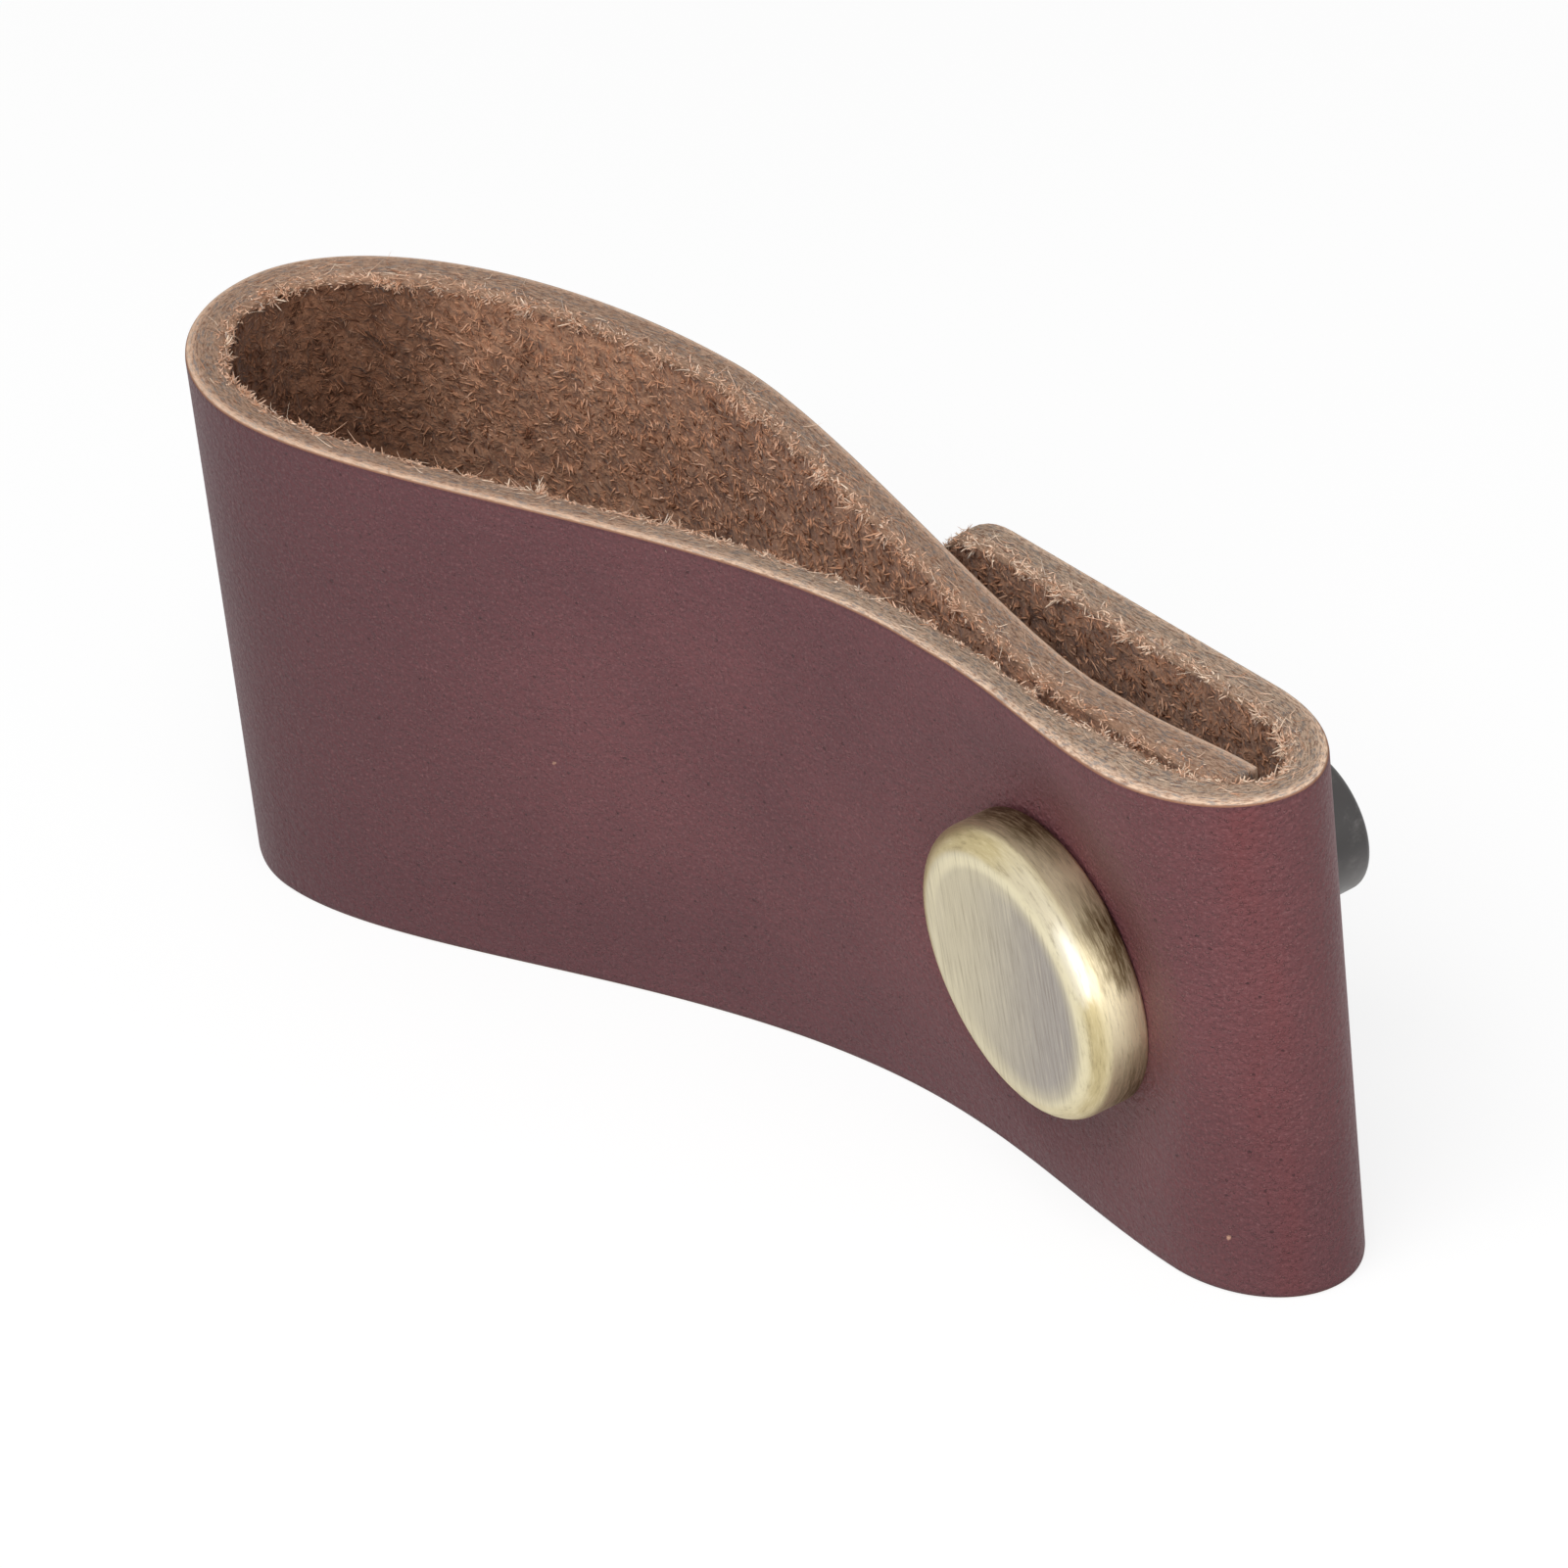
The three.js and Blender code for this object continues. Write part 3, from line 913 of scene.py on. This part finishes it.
fibre_dark = screen_colour(120, 79, 60)
fibre_brown = screen_colour(208, 155, 122)
fibre_tan = screen_colour(228, 188, 160)
fibre_pale = screen_colour(244, 220, 196)
fibre_grey = screen_colour(164, 154, 148)


def unit(vectors):
    """Each vector divided by its length."""
    return vectors / np.maximum(np.linalg.norm(vectors, axis=-1, keepdims=True), 1e-9)


strap_along_way = unit(np.gradient(strap_points, axis=0))
strap_round_way = unit(np.roll(strap_points, -1, axis=1) - np.roll(strap_points, 1, axis=1))
strap_out_way = unit(np.cross(strap_round_way, strap_along_way))


def picked(grid, station_at, ring_at):
    """The grid's vectors at places between its points, blended from the four round each place."""
    station = np.minimum(np.floor(station_at).astype(int), station_count - 2)
    ring = np.floor(ring_at).astype(int)
    a, b = (station_at - station)[:, None], (ring_at - ring)[:, None]
    ring, next_ring = ring % ring_count, (ring + 1) % ring_count
    low = grid[station, ring] * (1 - a) + grid[station + 1, ring] * a
    high = grid[station, next_ring] * (1 - a) + grid[station + 1, next_ring] * a
    return low * (1 - b) + high * b


def fibre_finish():
    """Raw fibre: its colour from brown to pale by each fibre's own tone, a little lighter at the tip. The
    nap takes the same painted shade as the flesh in the loop's tight end and the pocket.
    """
    finish, tree = new_finish("leather_fibre")
    tone = add_node(tree, "Attribute", attribute_name="tone").outputs["Fac"]
    place = unrolled_place(tree)
    greying = ranged(tree, noise_at(tree, place, 1.3, 2.0), 0.52, 0.68, 0.0, 0.7)
    colour = coated(
        tree, fibre_dark,
        (ranged(tree, tone, 0.0, 0.4), fibre_brown),
        (ranged(tree, tone, 0.35, 0.75), fibre_tan),
        (ranged(tree, tone, 0.75, 1.0), fibre_pale),
        (maths(tree, "MULTIPLY", greying, ranged(tree, tone, 0.5, 0.8)), fibre_grey),
    )
    in_nap = parts_of(tree, place)[2]
    shade = use_group(tree, loop_painted_shade, {"Place": place, "Most": 0.85})[0]
    # the nap takes the flesh's painted shade; the fringe does not
    colour = blended(tree, maths(tree, "MULTIPLY", shade, in_nap), colour, painted_shade_tint, "MULTIPLY")
    finish_surface(tree, colour, 0.8, {"Specular IOR Level": 0.2})
    return finish


raw_fibre = fibre_finish()


def lay_fibres(name, station_at, ring_at, heading, tilt, length, radius, tone, stops, in_nap, seed):
    """Fibres rooted in the strap at grid places. heading turns each from the way along the strap, tilt lifts
    it off the surface, and a random curl bends it by the square of the distance along it. One that would
    pass through the table is turned back up from it. Each is a three-sided tube that thins from its root to
    a point, with a ring at each stop."""
    random = np.random.default_rng(seed)
    count, rings = len(station_at), len(stops)
    along = np.interp(station_at, np.arange(station_count), station_along)
    length = length * np.interp(along, slit_stops, slit_lengths)
    root = picked(strap_points, station_at, ring_at)
    out = unit(picked(strap_out_way, station_at, ring_at))
    way = picked(strap_along_way, station_at, ring_at)
    way = unit(way - out * np.sum(way * out, axis=1, keepdims=True))
    side = np.cross(out, way)
    lying = way * np.cos(heading)[:, None] + side * np.sin(heading)[:, None]
    start = unit(lying * np.cos(tilt)[:, None] + out * np.sin(tilt)[:, None])
    curl = random.normal(0, fibre_curl, (count, 3)) - fibre_droop * out
    reach = np.append(stops, 1.0)[None, :, None]
    spine = (root - out * fibre_root_depth)[:, None] + length[:, None, None] * (
        reach * start[:, None] + reach**2 * curl[:, None]
    )
    table = radius[:, None] - half_width
    spine[:, :, 2] = table + np.abs(spine[:, :, 2] - table)
    across = unit(np.cross(start, out + 0.01 * way))
    other = np.cross(start, across)
    turn = np.arange(3) * 2 * np.pi / 3
    rim = across[:, None] * np.cos(turn)[:, None] + other[:, None] * np.sin(turn)[:, None]
    width = radius[:, None, None, None] * (1 - 0.5 * stops)[None, :, None, None]
    tubes = spine[:, :rings, None] + rim[:, None] * width
    points = np.concatenate([tubes.reshape(count, -1, 3), spine[:, rings:]], axis=1)
    step, next_step = np.arange(3), np.array([1, 2, 0])
    level = np.arange(rings - 1)[:, None] * 3
    walls = np.stack(
        [level + step, level + next_step, level + 3 + next_step, level + 3 + step], axis=2
    ).reshape(-1, 4)
    top = (rings - 1) * 3
    points_each = rings * 3 + 1
    caps = np.concatenate(
        [np.stack([top + step, top + next_step, np.full(3, points_each - 1)], axis=1), [[2, 1, 0]]]
    )
    first = (np.arange(count) * points_each)[:, None, None]
    quads, triangles = (first + walls).reshape(-1, 4), (first + caps).reshape(-1, 3)
    piece = make_piece(name, points.reshape(-1, 3), [quads, triangles], [raw_fibre])
    place = np.stack([along, ring_at, np.full(count, in_nap)], axis=1)
    keep_vectors(piece, "unrolled", np.repeat(place, points_each, axis=0))
    up_fibre = np.append(np.repeat(stops, 3), 1.0)
    tones = np.clip(tone[:, None] + fibre_tip_lightening * (up_fibre - 0.5), 0, 1)
    piece.data.attributes.new("tone", "FLOAT", "POINT").data.foreach_set("value", tones.ravel())
    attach(piece, "root")
    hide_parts("leather_strap")
    return piece


def lay_nap(name, first_station, last_station, seed):
    """The flesh side's hairs between two stations, closer together towards the upper edge. Their headings
    swing together over a millimetre or two, as matted suede does."""
    random = np.random.default_rng(seed)
    start = max(station_along[first_station], nap_end_margin)
    end = min(station_along[last_station], station_along[-1] - nap_end_margin)
    near = int(nap_dense_to * (end - start) * nap_near_edge)
    far = int((2 * flesh_line_end - nap_dense_to) * (end - start) * nap_elsewhere)
    along = random.uniform(start, end, near + far)
    up = np.concatenate(
        [random.uniform(flesh_line_end - nap_dense_to, flesh_line_end, near),
         random.uniform(-flesh_line_end, flesh_line_end - nap_dense_to, far)]
    )
    in_hole = np.zeros(len(along), bool)
    station_at = np.interp(along, station_along, np.arange(station_count))
    for first, last, _, _, radius in holes:
        middle = (station_along[first] + station_along[last]) / 2
        in_hole |= np.hypot(along - middle, up) < radius + nap_hole_margin
    along, up, station_at = along[~in_hole], up[~in_hole], station_at[~in_hole]
    ring_at = np.interp(-up, -flesh_z[::-1], flesh_ring.astype(float))
    count = len(along)
    high = up + lattice_lift
    heading = np.pi * (1.6 * lumps(along, high, 1.7, seed + 1) + 0.5 * lumps(along, high, 0.6, seed + 2))
    heading += random.normal(0, 0.35, count)
    tilt = random.uniform(0.08, 0.55, count)
    length = random.uniform(*nap_length, count)
    radius = random.uniform(*nap_radius, count)
    tone = 0.36 + 0.28 * lumps(along, high, 1.0, seed + 3) + random.normal(0, 0.09, count)
    lay_fibres(name, station_at, ring_at, heading, tilt, length, radius, tone, hair_stops, 1.0, seed + 4)


def lay_fringe(name, edge_ring, flesh_corner, seed):
    """One cut edge's torn fibre: strands that lie along it, a short fringe at its flesh side, and tufts."""
    random = np.random.default_rng(seed)
    total = station_along[-1]
    inward = 1 if flesh_corner > edge_ring[0] else -1
    outer_line = edge_ring[4] if inward == 1 else edge_ring[-5]
    strands, fringe = int(total * strands_per_mm), int(total * fringe_per_mm)
    tufts = int(total / tuft_spacing)
    tuft_at = np.repeat(random.uniform(0, total, tufts), tuft_fibres)
    tuft_size = np.repeat(random.uniform(0.35, 1.0, tufts) ** 1.5, tuft_fibres)
    tuft_heading = np.repeat(random.uniform(-np.pi, np.pi, tufts), tuft_fibres)
    near_tuft = random.normal(0, tuft_spread, len(tuft_at))
    along = np.concatenate(
        [random.uniform(0, total, strands), random.uniform(0, total, fringe), tuft_at + near_tuft]
    )
    along = np.clip(along, 0.02, total - 0.02)
    kind = np.repeat([0, 1, 2], [strands, fringe, len(tuft_at)])
    count = len(along)

    def drawn(ranges):
        """A random number for each fibre, from its own kind's range."""
        draws = [random.uniform(*ends, count) for ends in ranges]
        return np.select([kind == 0, kind == 1, kind == 2], draws)

    share = drawn(fringe_share)
    ring_at = outer_line + share * (flesh_corner - outer_line)
    either_way = np.pi * random.integers(0, 2, count)
    heading = np.select(
        [kind == 0, kind == 1],
        [either_way + random.normal(0, 0.22, count), either_way + random.normal(0, 0.75, count)],
        np.concatenate([np.zeros(strands + fringe), tuft_heading]) + random.normal(0, 0.35, count),
    )
    size = np.concatenate([np.ones(strands + fringe), tuft_size])
    tilt = drawn(fringe_tilt)
    length = size * drawn(fringe_length)
    radius = np.where(kind == 0, random.uniform(0.022, 0.045, count), random.uniform(0.045, 0.095, count))
    tone = np.where(kind == 0, 0.66, 0.68) + np.where(kind == 0, 0.27, 0.14) * random.normal(0, 1, count)
    # the fringe takes the cut edges' painted light from the front bend to the fold
    tone += 0.14 * smooth((painted_light_along[0] - along) / (painted_light_along[0] - painted_light_along[1]))
    station_at = np.interp(along, station_along, np.arange(station_count))
    lay_fibres(name, station_at, ring_at, heading, tilt, length, radius, tone, tuft_stops, 0.0, seed + 1)


nap_pieces = ["nap_of_flap_and_fold", "nap_of_front", "nap_of_loop_end", "nap_of_rear_wall"]
nap_ends = [0, stretch_start["front"] + 40, stretch_start["loop_end"] - 30, stretch_start["rear_bend"] - 20,
            station_count - 1]
for number, name in enumerate(nap_pieces):
    lay_nap(name, nap_ends[number], nap_ends[number + 1], seed=101 + 10 * number)
lay_fringe("fringe_of_upper_edge", upper_edge_ring, flesh_ring[0], seed=141)
lay_fringe("fringe_of_lower_edge", lower_edge_ring, flesh_ring[-1], seed=151)


# The brass cap is a turned disc with a flat, straight-brushed face, a rounded rim and a side brushed round
# it. It is aged: rubbed pale where face and rim meet, dark in patches on the side. Its reflections are partly
# painted: the face greyer to the right, a highlight on the rim, a bright band on the side, the rubbed line
# brighter to the upper right, and dark reflections among the side's aged patches. A blind threaded hole
# takes the stud. Screwed down on the soft leather, it leans a few degrees with it, away from the fold.
cap_radius = 9.68
cap_height = 4.0
cap_rim_radius = 1.5
cap_foot_radius = 0.25
cap_hole_radius = 2.3
cap_hole_depth = 3.0
cap_sides = 192
cap_lean = np.radians(4.1)
cap_nod = np.radians(1.5)
cap_middle = np.array([0.3, seat_y, 0.0])


def turned(profile, sides):
    """A profile of (radius, y) pairs carried round the y axis: points, and quads between its rings."""
    angle = steps_between(0, 2 * np.pi, sides)
    radius, y = profile[:, :1], profile[:, 1:]
    points = np.stack([radius * np.cos(angle), y + 0 * angle, radius * np.sin(angle)], axis=2)
    return points.reshape(-1, 3), grid_quads(len(profile), sides).reshape(-1, 4)


def arc_profile(centre_radius, centre_y, radius, start_degrees, end_degrees, count):
    """Profile points round an arc, with the angle measured from outwards towards the door."""
    angle = np.radians(np.linspace(start_degrees, end_degrees, count))
    return np.stack([centre_radius + radius * np.cos(angle), centre_y + radius * np.sin(angle)], axis=1)


def disc_points(radii, y):
    """Profile points across a flat face."""
    radii = np.asarray(radii, float)
    return np.stack([radii, np.full(len(radii), y)], axis=1)


def leaning(points):
    """The cap's points turned by its nod about x and its lean about z, then moved to its middle."""
    nod_cos, nod_sin = np.cos(cap_nod), np.sin(cap_nod)
    lean_cos, lean_sin = np.cos(cap_lean), np.sin(cap_lean)
    nod = np.array([[1, 0, 0], [0, nod_cos, -nod_sin], [0, nod_sin, nod_cos]])
    lean = np.array([[lean_cos, lean_sin, 0], [-lean_sin, lean_cos, 0], [0, 0, 1]])
    return points @ (lean @ nod).T + cap_middle


def turned_piece(name, profile, sides, finish, placed=np.asarray):
    """A turned piece. A profile that starts and ends on the axis is closed there by small fans, and any
    other closes on itself, like a tube's. Its points before they are placed stay with it for the finish."""
    solid = profile[0, 0] == 0
    points, quads = turned(profile[1:-1] if solid else profile, sides)
    side = np.arange(sides)
    next_side = (side + 1) % sides
    last = len(points) - sides
    closing = [np.stack([last + side, last + next_side, next_side, side], axis=1)]
    if solid:
        hub = np.full(sides, len(points))
        closing = [np.stack([hub, next_side, side], axis=1),
                   np.stack([hub + 1, last + side, last + next_side], axis=1)]
        points = np.concatenate([points, [[0, profile[0, 1], 0], [0, profile[-1, 1], 0]]])
    piece = make_piece(name, placed(points), [quads, *closing], [finish], outward=True)
    keep_vectors(piece, "own_place", points)
    return piece


def brush_lines_group():
    """Fine scratches that run along X of the place given: noise drawn out far along, fine across."""
    group, given, result = new_group("brush lines", {"Place": None, "Fineness": 8.0}, ["Lines"])
    long_way = stretched(group, given.outputs["Place"], 0.05, 1.0, 1.0)
    coarse = noise_at(group, long_way, given.outputs["Fineness"], 5.0, 0.7)
    group.links.new(coarse, result.inputs["Lines"])
    return group


brush_lines = brush_lines_group()

brass_cream = screen_colour(203, 193, 166)
brass_reflection_grey = screen_colour(164, 156, 148)
brass_olive = screen_colour(200, 184, 140)
brass_highlight_and_pale_lines = screen_colour(250, 238, 202)
brass_worn_and_lit = screen_colour(236, 226, 192)
brass_highlight = screen_colour(252, 248, 236)
brass_dark = screen_colour(98, 74, 50)
# Shares round the cap, by angle: where the painted rim highlight lies, and where aged dark patches mixed with
# painted dark reflections lie on the side.
rim_highlight_by_angle = [(0.0, 0.0), (0.53, 0.0), (0.56, 0.5), (0.605, 0.6), (0.645, 0.35), (0.69, 0.3),
                   (0.75, 0.0)]
patina_and_reflection_by_angle = [
    (0.0, 0.5), (0.17, 0.7), (0.3, 0.4), (0.39, 0.8), (0.42, 0.65), (0.45, 0.4), (0.49, 0.0), (0.53, 0.0),
    (0.56, 0.85), (0.61, 1.0), (0.64, 0.4), (0.67, 0.05), (0.7, 0.4), (0.74, 0.95), (0.81, 1.0),
    (0.88, 0.5), (1.0, 0.5),
]


def own_place(tree):
    """A point's place on a turned piece, in millimetres, with y along its axis."""
    return add_node(tree, "Attribute", attribute_name="own_place").outputs["Vector"]


def value_curve(tree, value, stops):
    """A value from 0 to 1 looked up between (place, height) stops."""
    node = add_node(tree, "ValToRGB", {0: value})
    ramp = node.color_ramp
    ramp.interpolation = "EASE"
    while len(ramp.elements) < len(stops):
        ramp.elements.new(0.5)
    for element, (place, height) in zip(ramp.elements, stops):
        element.position = place
        element.color = (height, height, height, 1)
    return node.outputs["Color"]


def brass_finish():
    """Antique brass: brushed straight on the face and round the side, aged dark where it isn't rubbed, with
    painted reflections and highlights on face, rim and side.
    """
    finish, tree = new_finish("antique_brass")
    place = own_place(tree)
    x, y, z = parts_of(tree, place)
    off_axis = stretched(tree, place, 1, 0, 1)
    away = add_node(tree, "VectorMath", {0: off_axis}, operation="LENGTH").outputs["Value"]
    face_place = add_node(tree, "CombineXYZ", {0: z, 1: x, 2: y}).outputs[0]
    round_place = stretched(tree, place, 0.12, 1, 0.12)
    face_lines = use_group(tree, brush_lines, {"Place": face_place, "Fineness": 4.5})[0]
    side_lines = noise_at(tree, round_place, 5.0, 5.0, 0.7)
    on_side = ranged(tree, away, cap_radius - cap_rim_radius - 0.1, cap_radius - cap_rim_radius + 0.5)
    lines = add_node(tree, "Mix", {0: on_side, 2: face_lines, 3: side_lines}).outputs[0]

    # painted reflection: the face greyer towards its right
    reflection_side = ranged(tree, maths(tree, "SUBTRACT", x, maths(tree, "MULTIPLY", z, 0.2)), -6.5, 6.0)
    face_rim = ranged(tree, maths(tree, "SUBTRACT", away, maths(tree, "MULTIPLY", reflection_side, 1.2)), 5.6, 7.2)
    painted_grey_reflection = maths(tree, "MULTIPLY", reflection_side, maths(tree, "SUBTRACT", 1.0, face_rim))

    angle = maths(tree, "ARCTAN2", z, x)
    wander = noise_at(tree, round_place, 2.2, 4.0, 0.7)
    around = maths(tree, "ADD", ranged(tree, angle, -np.pi, np.pi, soft=False),
                   ranged(tree, wander, 0.2, 0.8, -0.022, 0.022, soft=False))
    low_side = ranged(tree, y, -cap_height + 0.6, -0.7)
    # aged dark patches on the side, mixed with painted dark reflections, set by angle round the cap
    patina_and_dark_reflection = maths(tree, "MULTIPLY", value_curve(tree, around, patina_and_reflection_by_angle), low_side)
    patina_and_dark_reflection = maths(tree, "MULTIPLY", patina_and_dark_reflection, ranged(tree, side_lines, 0.36, 0.6, 0.55, 1.0))
    # painted highlight: a bright band on the side towards the leather
    painted_side_highlight = maths(tree, "MULTIPLY", ranged(tree, y, -cap_height + 0.6, -cap_height + 1.9),
                        maths(tree, "SUBTRACT", 1.0, patina_and_dark_reflection))
    # painted highlight on the rim, set by angle round the cap
    painted_rim_highlight = maths(tree, "MULTIPLY", value_curve(tree, around, rim_highlight_by_angle), on_side)
    painted_rim_highlight = maths(tree, "MULTIPLY", painted_rim_highlight, ranged(tree, y, -cap_height + 1.5, -cap_height + 0.7))

    rub_middle = ranged(tree, reflection_side, 0.0, 1.0, 7.75, 8.5, soft=False)
    off_rim = maths(tree, "ABSOLUTE", maths(tree, "SUBTRACT", away, rub_middle))
    rubbed = maths(tree, "MULTIPLY", ranged(tree, off_rim, 0.75, 0.1),
                   ranged(tree, y, -cap_height + 0.5, -cap_height + 0.2))
    # the rubbed line is real wear; painted highlight makes it brighter towards the upper right
    lit_upper_right = ranged(tree, maths(tree, "ADD", x, z), -9.0, 5.0, 0.25, 0.8)
    pits = flecks(tree, place, spacing=0.8, size=0.07, amount=0.3)
    colour = coated(
        tree, brass_cream,
        (painted_grey_reflection, brass_reflection_grey),
        (on_side, brass_olive),
        (painted_side_highlight, brass_highlight_and_pale_lines),
        (patina_and_dark_reflection, brass_dark),
        (painted_rim_highlight, brass_highlight),
        (maths(tree, "MULTIPLY", rubbed, lit_upper_right), brass_worn_and_lit),
        (ranged(tree, lines, 0.48, 0.75, 0.0, 0.42), brass_dark),
        (ranged(tree, lines, 0.5, 0.25, 0.0, 0.3), brass_highlight_and_pale_lines),
        (maths(tree, "MULTIPLY", pits, 0.35), brass_dark),
    )
    roughness = maths(tree, "ADD", ranged(tree, low_side, 0.0, 1.0, 0.38, 0.46),
                      ranged(tree, lines, 0.3, 0.7, 0.0, 0.1))
    finish_surface(tree, colour, roughness, {"Metallic": 1.0, "Normal": raised(tree, lines, 0.3, 0.03)})
    return finish


cap_profile = np.concatenate(
    [
        disc_points([0, 1.5, 3, 4.5, 6, 7.2, 7.8, 8.05], -cap_height),
        arc_profile(cap_radius - cap_rim_radius, -cap_height + cap_rim_radius, cap_rim_radius, -90, 0, 14),
        disc_points([cap_radius], -cap_height + 2.4),
        arc_profile(cap_radius - cap_foot_radius, -cap_foot_radius, cap_foot_radius, 0, 90, 5),
        disc_points([7, 4.5, cap_hole_radius + 0.1], 0),
        disc_points([cap_hole_radius], -0.1),
        disc_points([cap_hole_radius, cap_hole_radius - 0.2, 0], -cap_hole_depth),
    ]
)
cap = turned_piece("turned_cap", cap_profile, cap_sides, brass_finish(), leaning)
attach(cap, "root")
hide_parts("brass_cap")


# The sleeve is a plain black tube that fills the hole in the flap and the door, and bears on the tucked
# leather. Its rear end is barely rounded, it is scuffed, and a painted sheen lightens its lower side. The
# door's own screw comes through its bore.
sleeve_radius = (sleeve_high[0] - sleeve_low[0]) / 2 / mm
sleeve_front_y = (sleeve_low[1] - door_face_y) / mm
sleeve_rear_y = (sleeve_high[1] - door_face_y) / mm
sleeve_bore_radius = 2.3
sleeve_outside_rings = 12
sleeve_bore_rings = 8
sleeve_edge_radius = 0.5
sleeve_sides = 128
sleeve_black = screen_colour(62, 59, 58)
sleeve_scuff_and_sheen = screen_colour(140, 136, 134)


def sleeve_finish():
    """Black with a soft sheen, fine turning lines, pale scuffs, most at the rounded end, and a painted
    sheen that lightens the lower side.
    """
    finish, tree = new_finish("scuffed_black")
    place = own_place(tree)
    _, y, z = parts_of(tree, place)
    lines = noise_at(tree, stretched(tree, place, 0.08, 1, 0.08), 4.0, 4.0, 0.7)
    smears = noise_at(tree, stretched(tree, place, 1, 0.7, 1), 0.6, 4.0, 0.65)
    nicks = flecks(tree, place, spacing=0.9, size=0.16, amount=0.3)
    near_end = ranged(tree, y, sleeve_rear_y - 3.4, sleeve_rear_y - 0.2, 0.35, 1.0)
    scuffs = maths(tree, "MAXIMUM", ranged(tree, smears, 0.5, 0.7, 0, 0.5), nicks)
    colour = coated(
        tree, sleeve_black,
        # painted sheen: lighter towards the lower side
        (ranged(tree, z, 1.0, -4.0, 0.0, 0.75), sleeve_scuff_and_sheen),
        (maths(tree, "MULTIPLY", scuffs, near_end), sleeve_scuff_and_sheen),
    )
    height = maths(tree, "SUBTRACT", maths(tree, "MULTIPLY", lines, 0.5), nicks)
    roughness = ranged(tree, smears, 0.35, 0.7, 0.34, 0.5)
    normal = raised(tree, height, 0.4, 0.05)
    finish_surface(tree, colour, roughness, {"Normal": normal, "Specular IOR Level": 0.5})
    return finish


sleeve_outside_y = np.linspace(sleeve_front_y + 1, sleeve_rear_y - 1.4, sleeve_outside_rings)
sleeve_bore_y = np.linspace(sleeve_rear_y - 0.25, sleeve_front_y + 0.2, sleeve_bore_rings)
sleeve_profile = np.concatenate(
    [
        disc_points([sleeve_bore_radius + 0.2, 3.5, sleeve_radius - 0.15], sleeve_front_y),
        disc_points([sleeve_radius], sleeve_front_y + 0.15),
        np.stack([np.full(sleeve_outside_rings, sleeve_radius), sleeve_outside_y], axis=1),
        arc_profile(
            sleeve_radius - sleeve_edge_radius, sleeve_rear_y - sleeve_edge_radius, sleeve_edge_radius,
            0, 90, 10,
        ),
        disc_points([3.4, sleeve_bore_radius + 0.25], sleeve_rear_y),
        np.stack([np.full(sleeve_bore_rings, sleeve_bore_radius), sleeve_bore_y], axis=1),
    ]
)
sleeve = turned_piece("moulded_sleeve", sleeve_profile, sleeve_sides, sleeve_finish())
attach(sleeve, "root")
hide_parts("black_sleeve")


# The stud is a short length of zinc-plated steel M4 thread, with no head. It joins the cap to the sleeve
# through the holes in the front and the tucked leather, and hides between them.
stud_low, stud_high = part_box("threaded_stud")
stud_radius = (stud_high[0] - stud_low[0]) / 2 / mm
stud_front_y = (stud_low[1] - door_face_y) / mm
stud_rear_y = (stud_high[1] - door_face_y) / mm
thread_pitch = 0.7
thread_depth = 0.43
thread_taper = 0.5
stud_sides = 48
stud_rings_per_turn = 8
zinc = screen_colour(176, 178, 182)
zinc_dark = screen_colour(120, 122, 128)


def threaded_profile_points():
    """A thread as a grid of turns by height: the radius falls from the crest by the thread's depth times the
    distance of the turn's phase from its crest, and the whole tapers to the root at both ends."""
    rings = int((stud_rear_y - stud_front_y) / thread_pitch * stud_rings_per_turn)
    y = np.linspace(stud_front_y, stud_rear_y, rings)[:, None]
    angle = steps_between(0, 2 * np.pi, stud_sides)[None]
    phase = (y / thread_pitch + angle / (2 * np.pi)) % 1
    groove = smooth(1 - np.abs(phase - 0.5) * 2.6 + 0.15)
    from_end = np.minimum(y - stud_front_y, stud_rear_y - y)
    worn = smooth(from_end / thread_taper)
    radius = stud_radius - thread_depth * np.maximum(groove, 1 - worn)
    return np.stack([radius * np.cos(angle), y + 0 * angle, radius * np.sin(angle)], axis=2)


def zinc_finish():
    """Plated steel: bright, faintly lined round the thread."""
    finish, tree = new_finish("zinc_plate")
    place = own_place(tree)
    lines = use_group(tree, brush_lines, {"Place": place, "Fineness": 6.0})[0]
    clouds = noise_at(tree, place, 0.8, 3.0)
    colour = blended(tree, ranged(tree, clouds, 0.4, 0.65), zinc, zinc_dark)
    roughness = ranged(tree, lines, 0.3, 0.7, 0.3, 0.42)
    finish_surface(tree, colour, roughness, {"Metallic": 1.0, "Normal": raised(tree, lines, 0.2, 0.02)})
    return finish


thread_points = threaded_profile_points()
thread_quads = grid_quads(len(thread_points), stud_sides).reshape(-1, 4)
around = np.arange(stud_sides)
thread_ends = np.stack([around, (len(thread_points) - 1) * stud_sides + around])
stud = make_piece(
    "thread_stud", thread_points.reshape(-1, 3), [thread_quads, thread_ends], [zinc_finish()], outward=True
)
keep_vectors(stud, "own_place", thread_points.reshape(-1, 3))
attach(stud, "root")
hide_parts("threaded_stud")
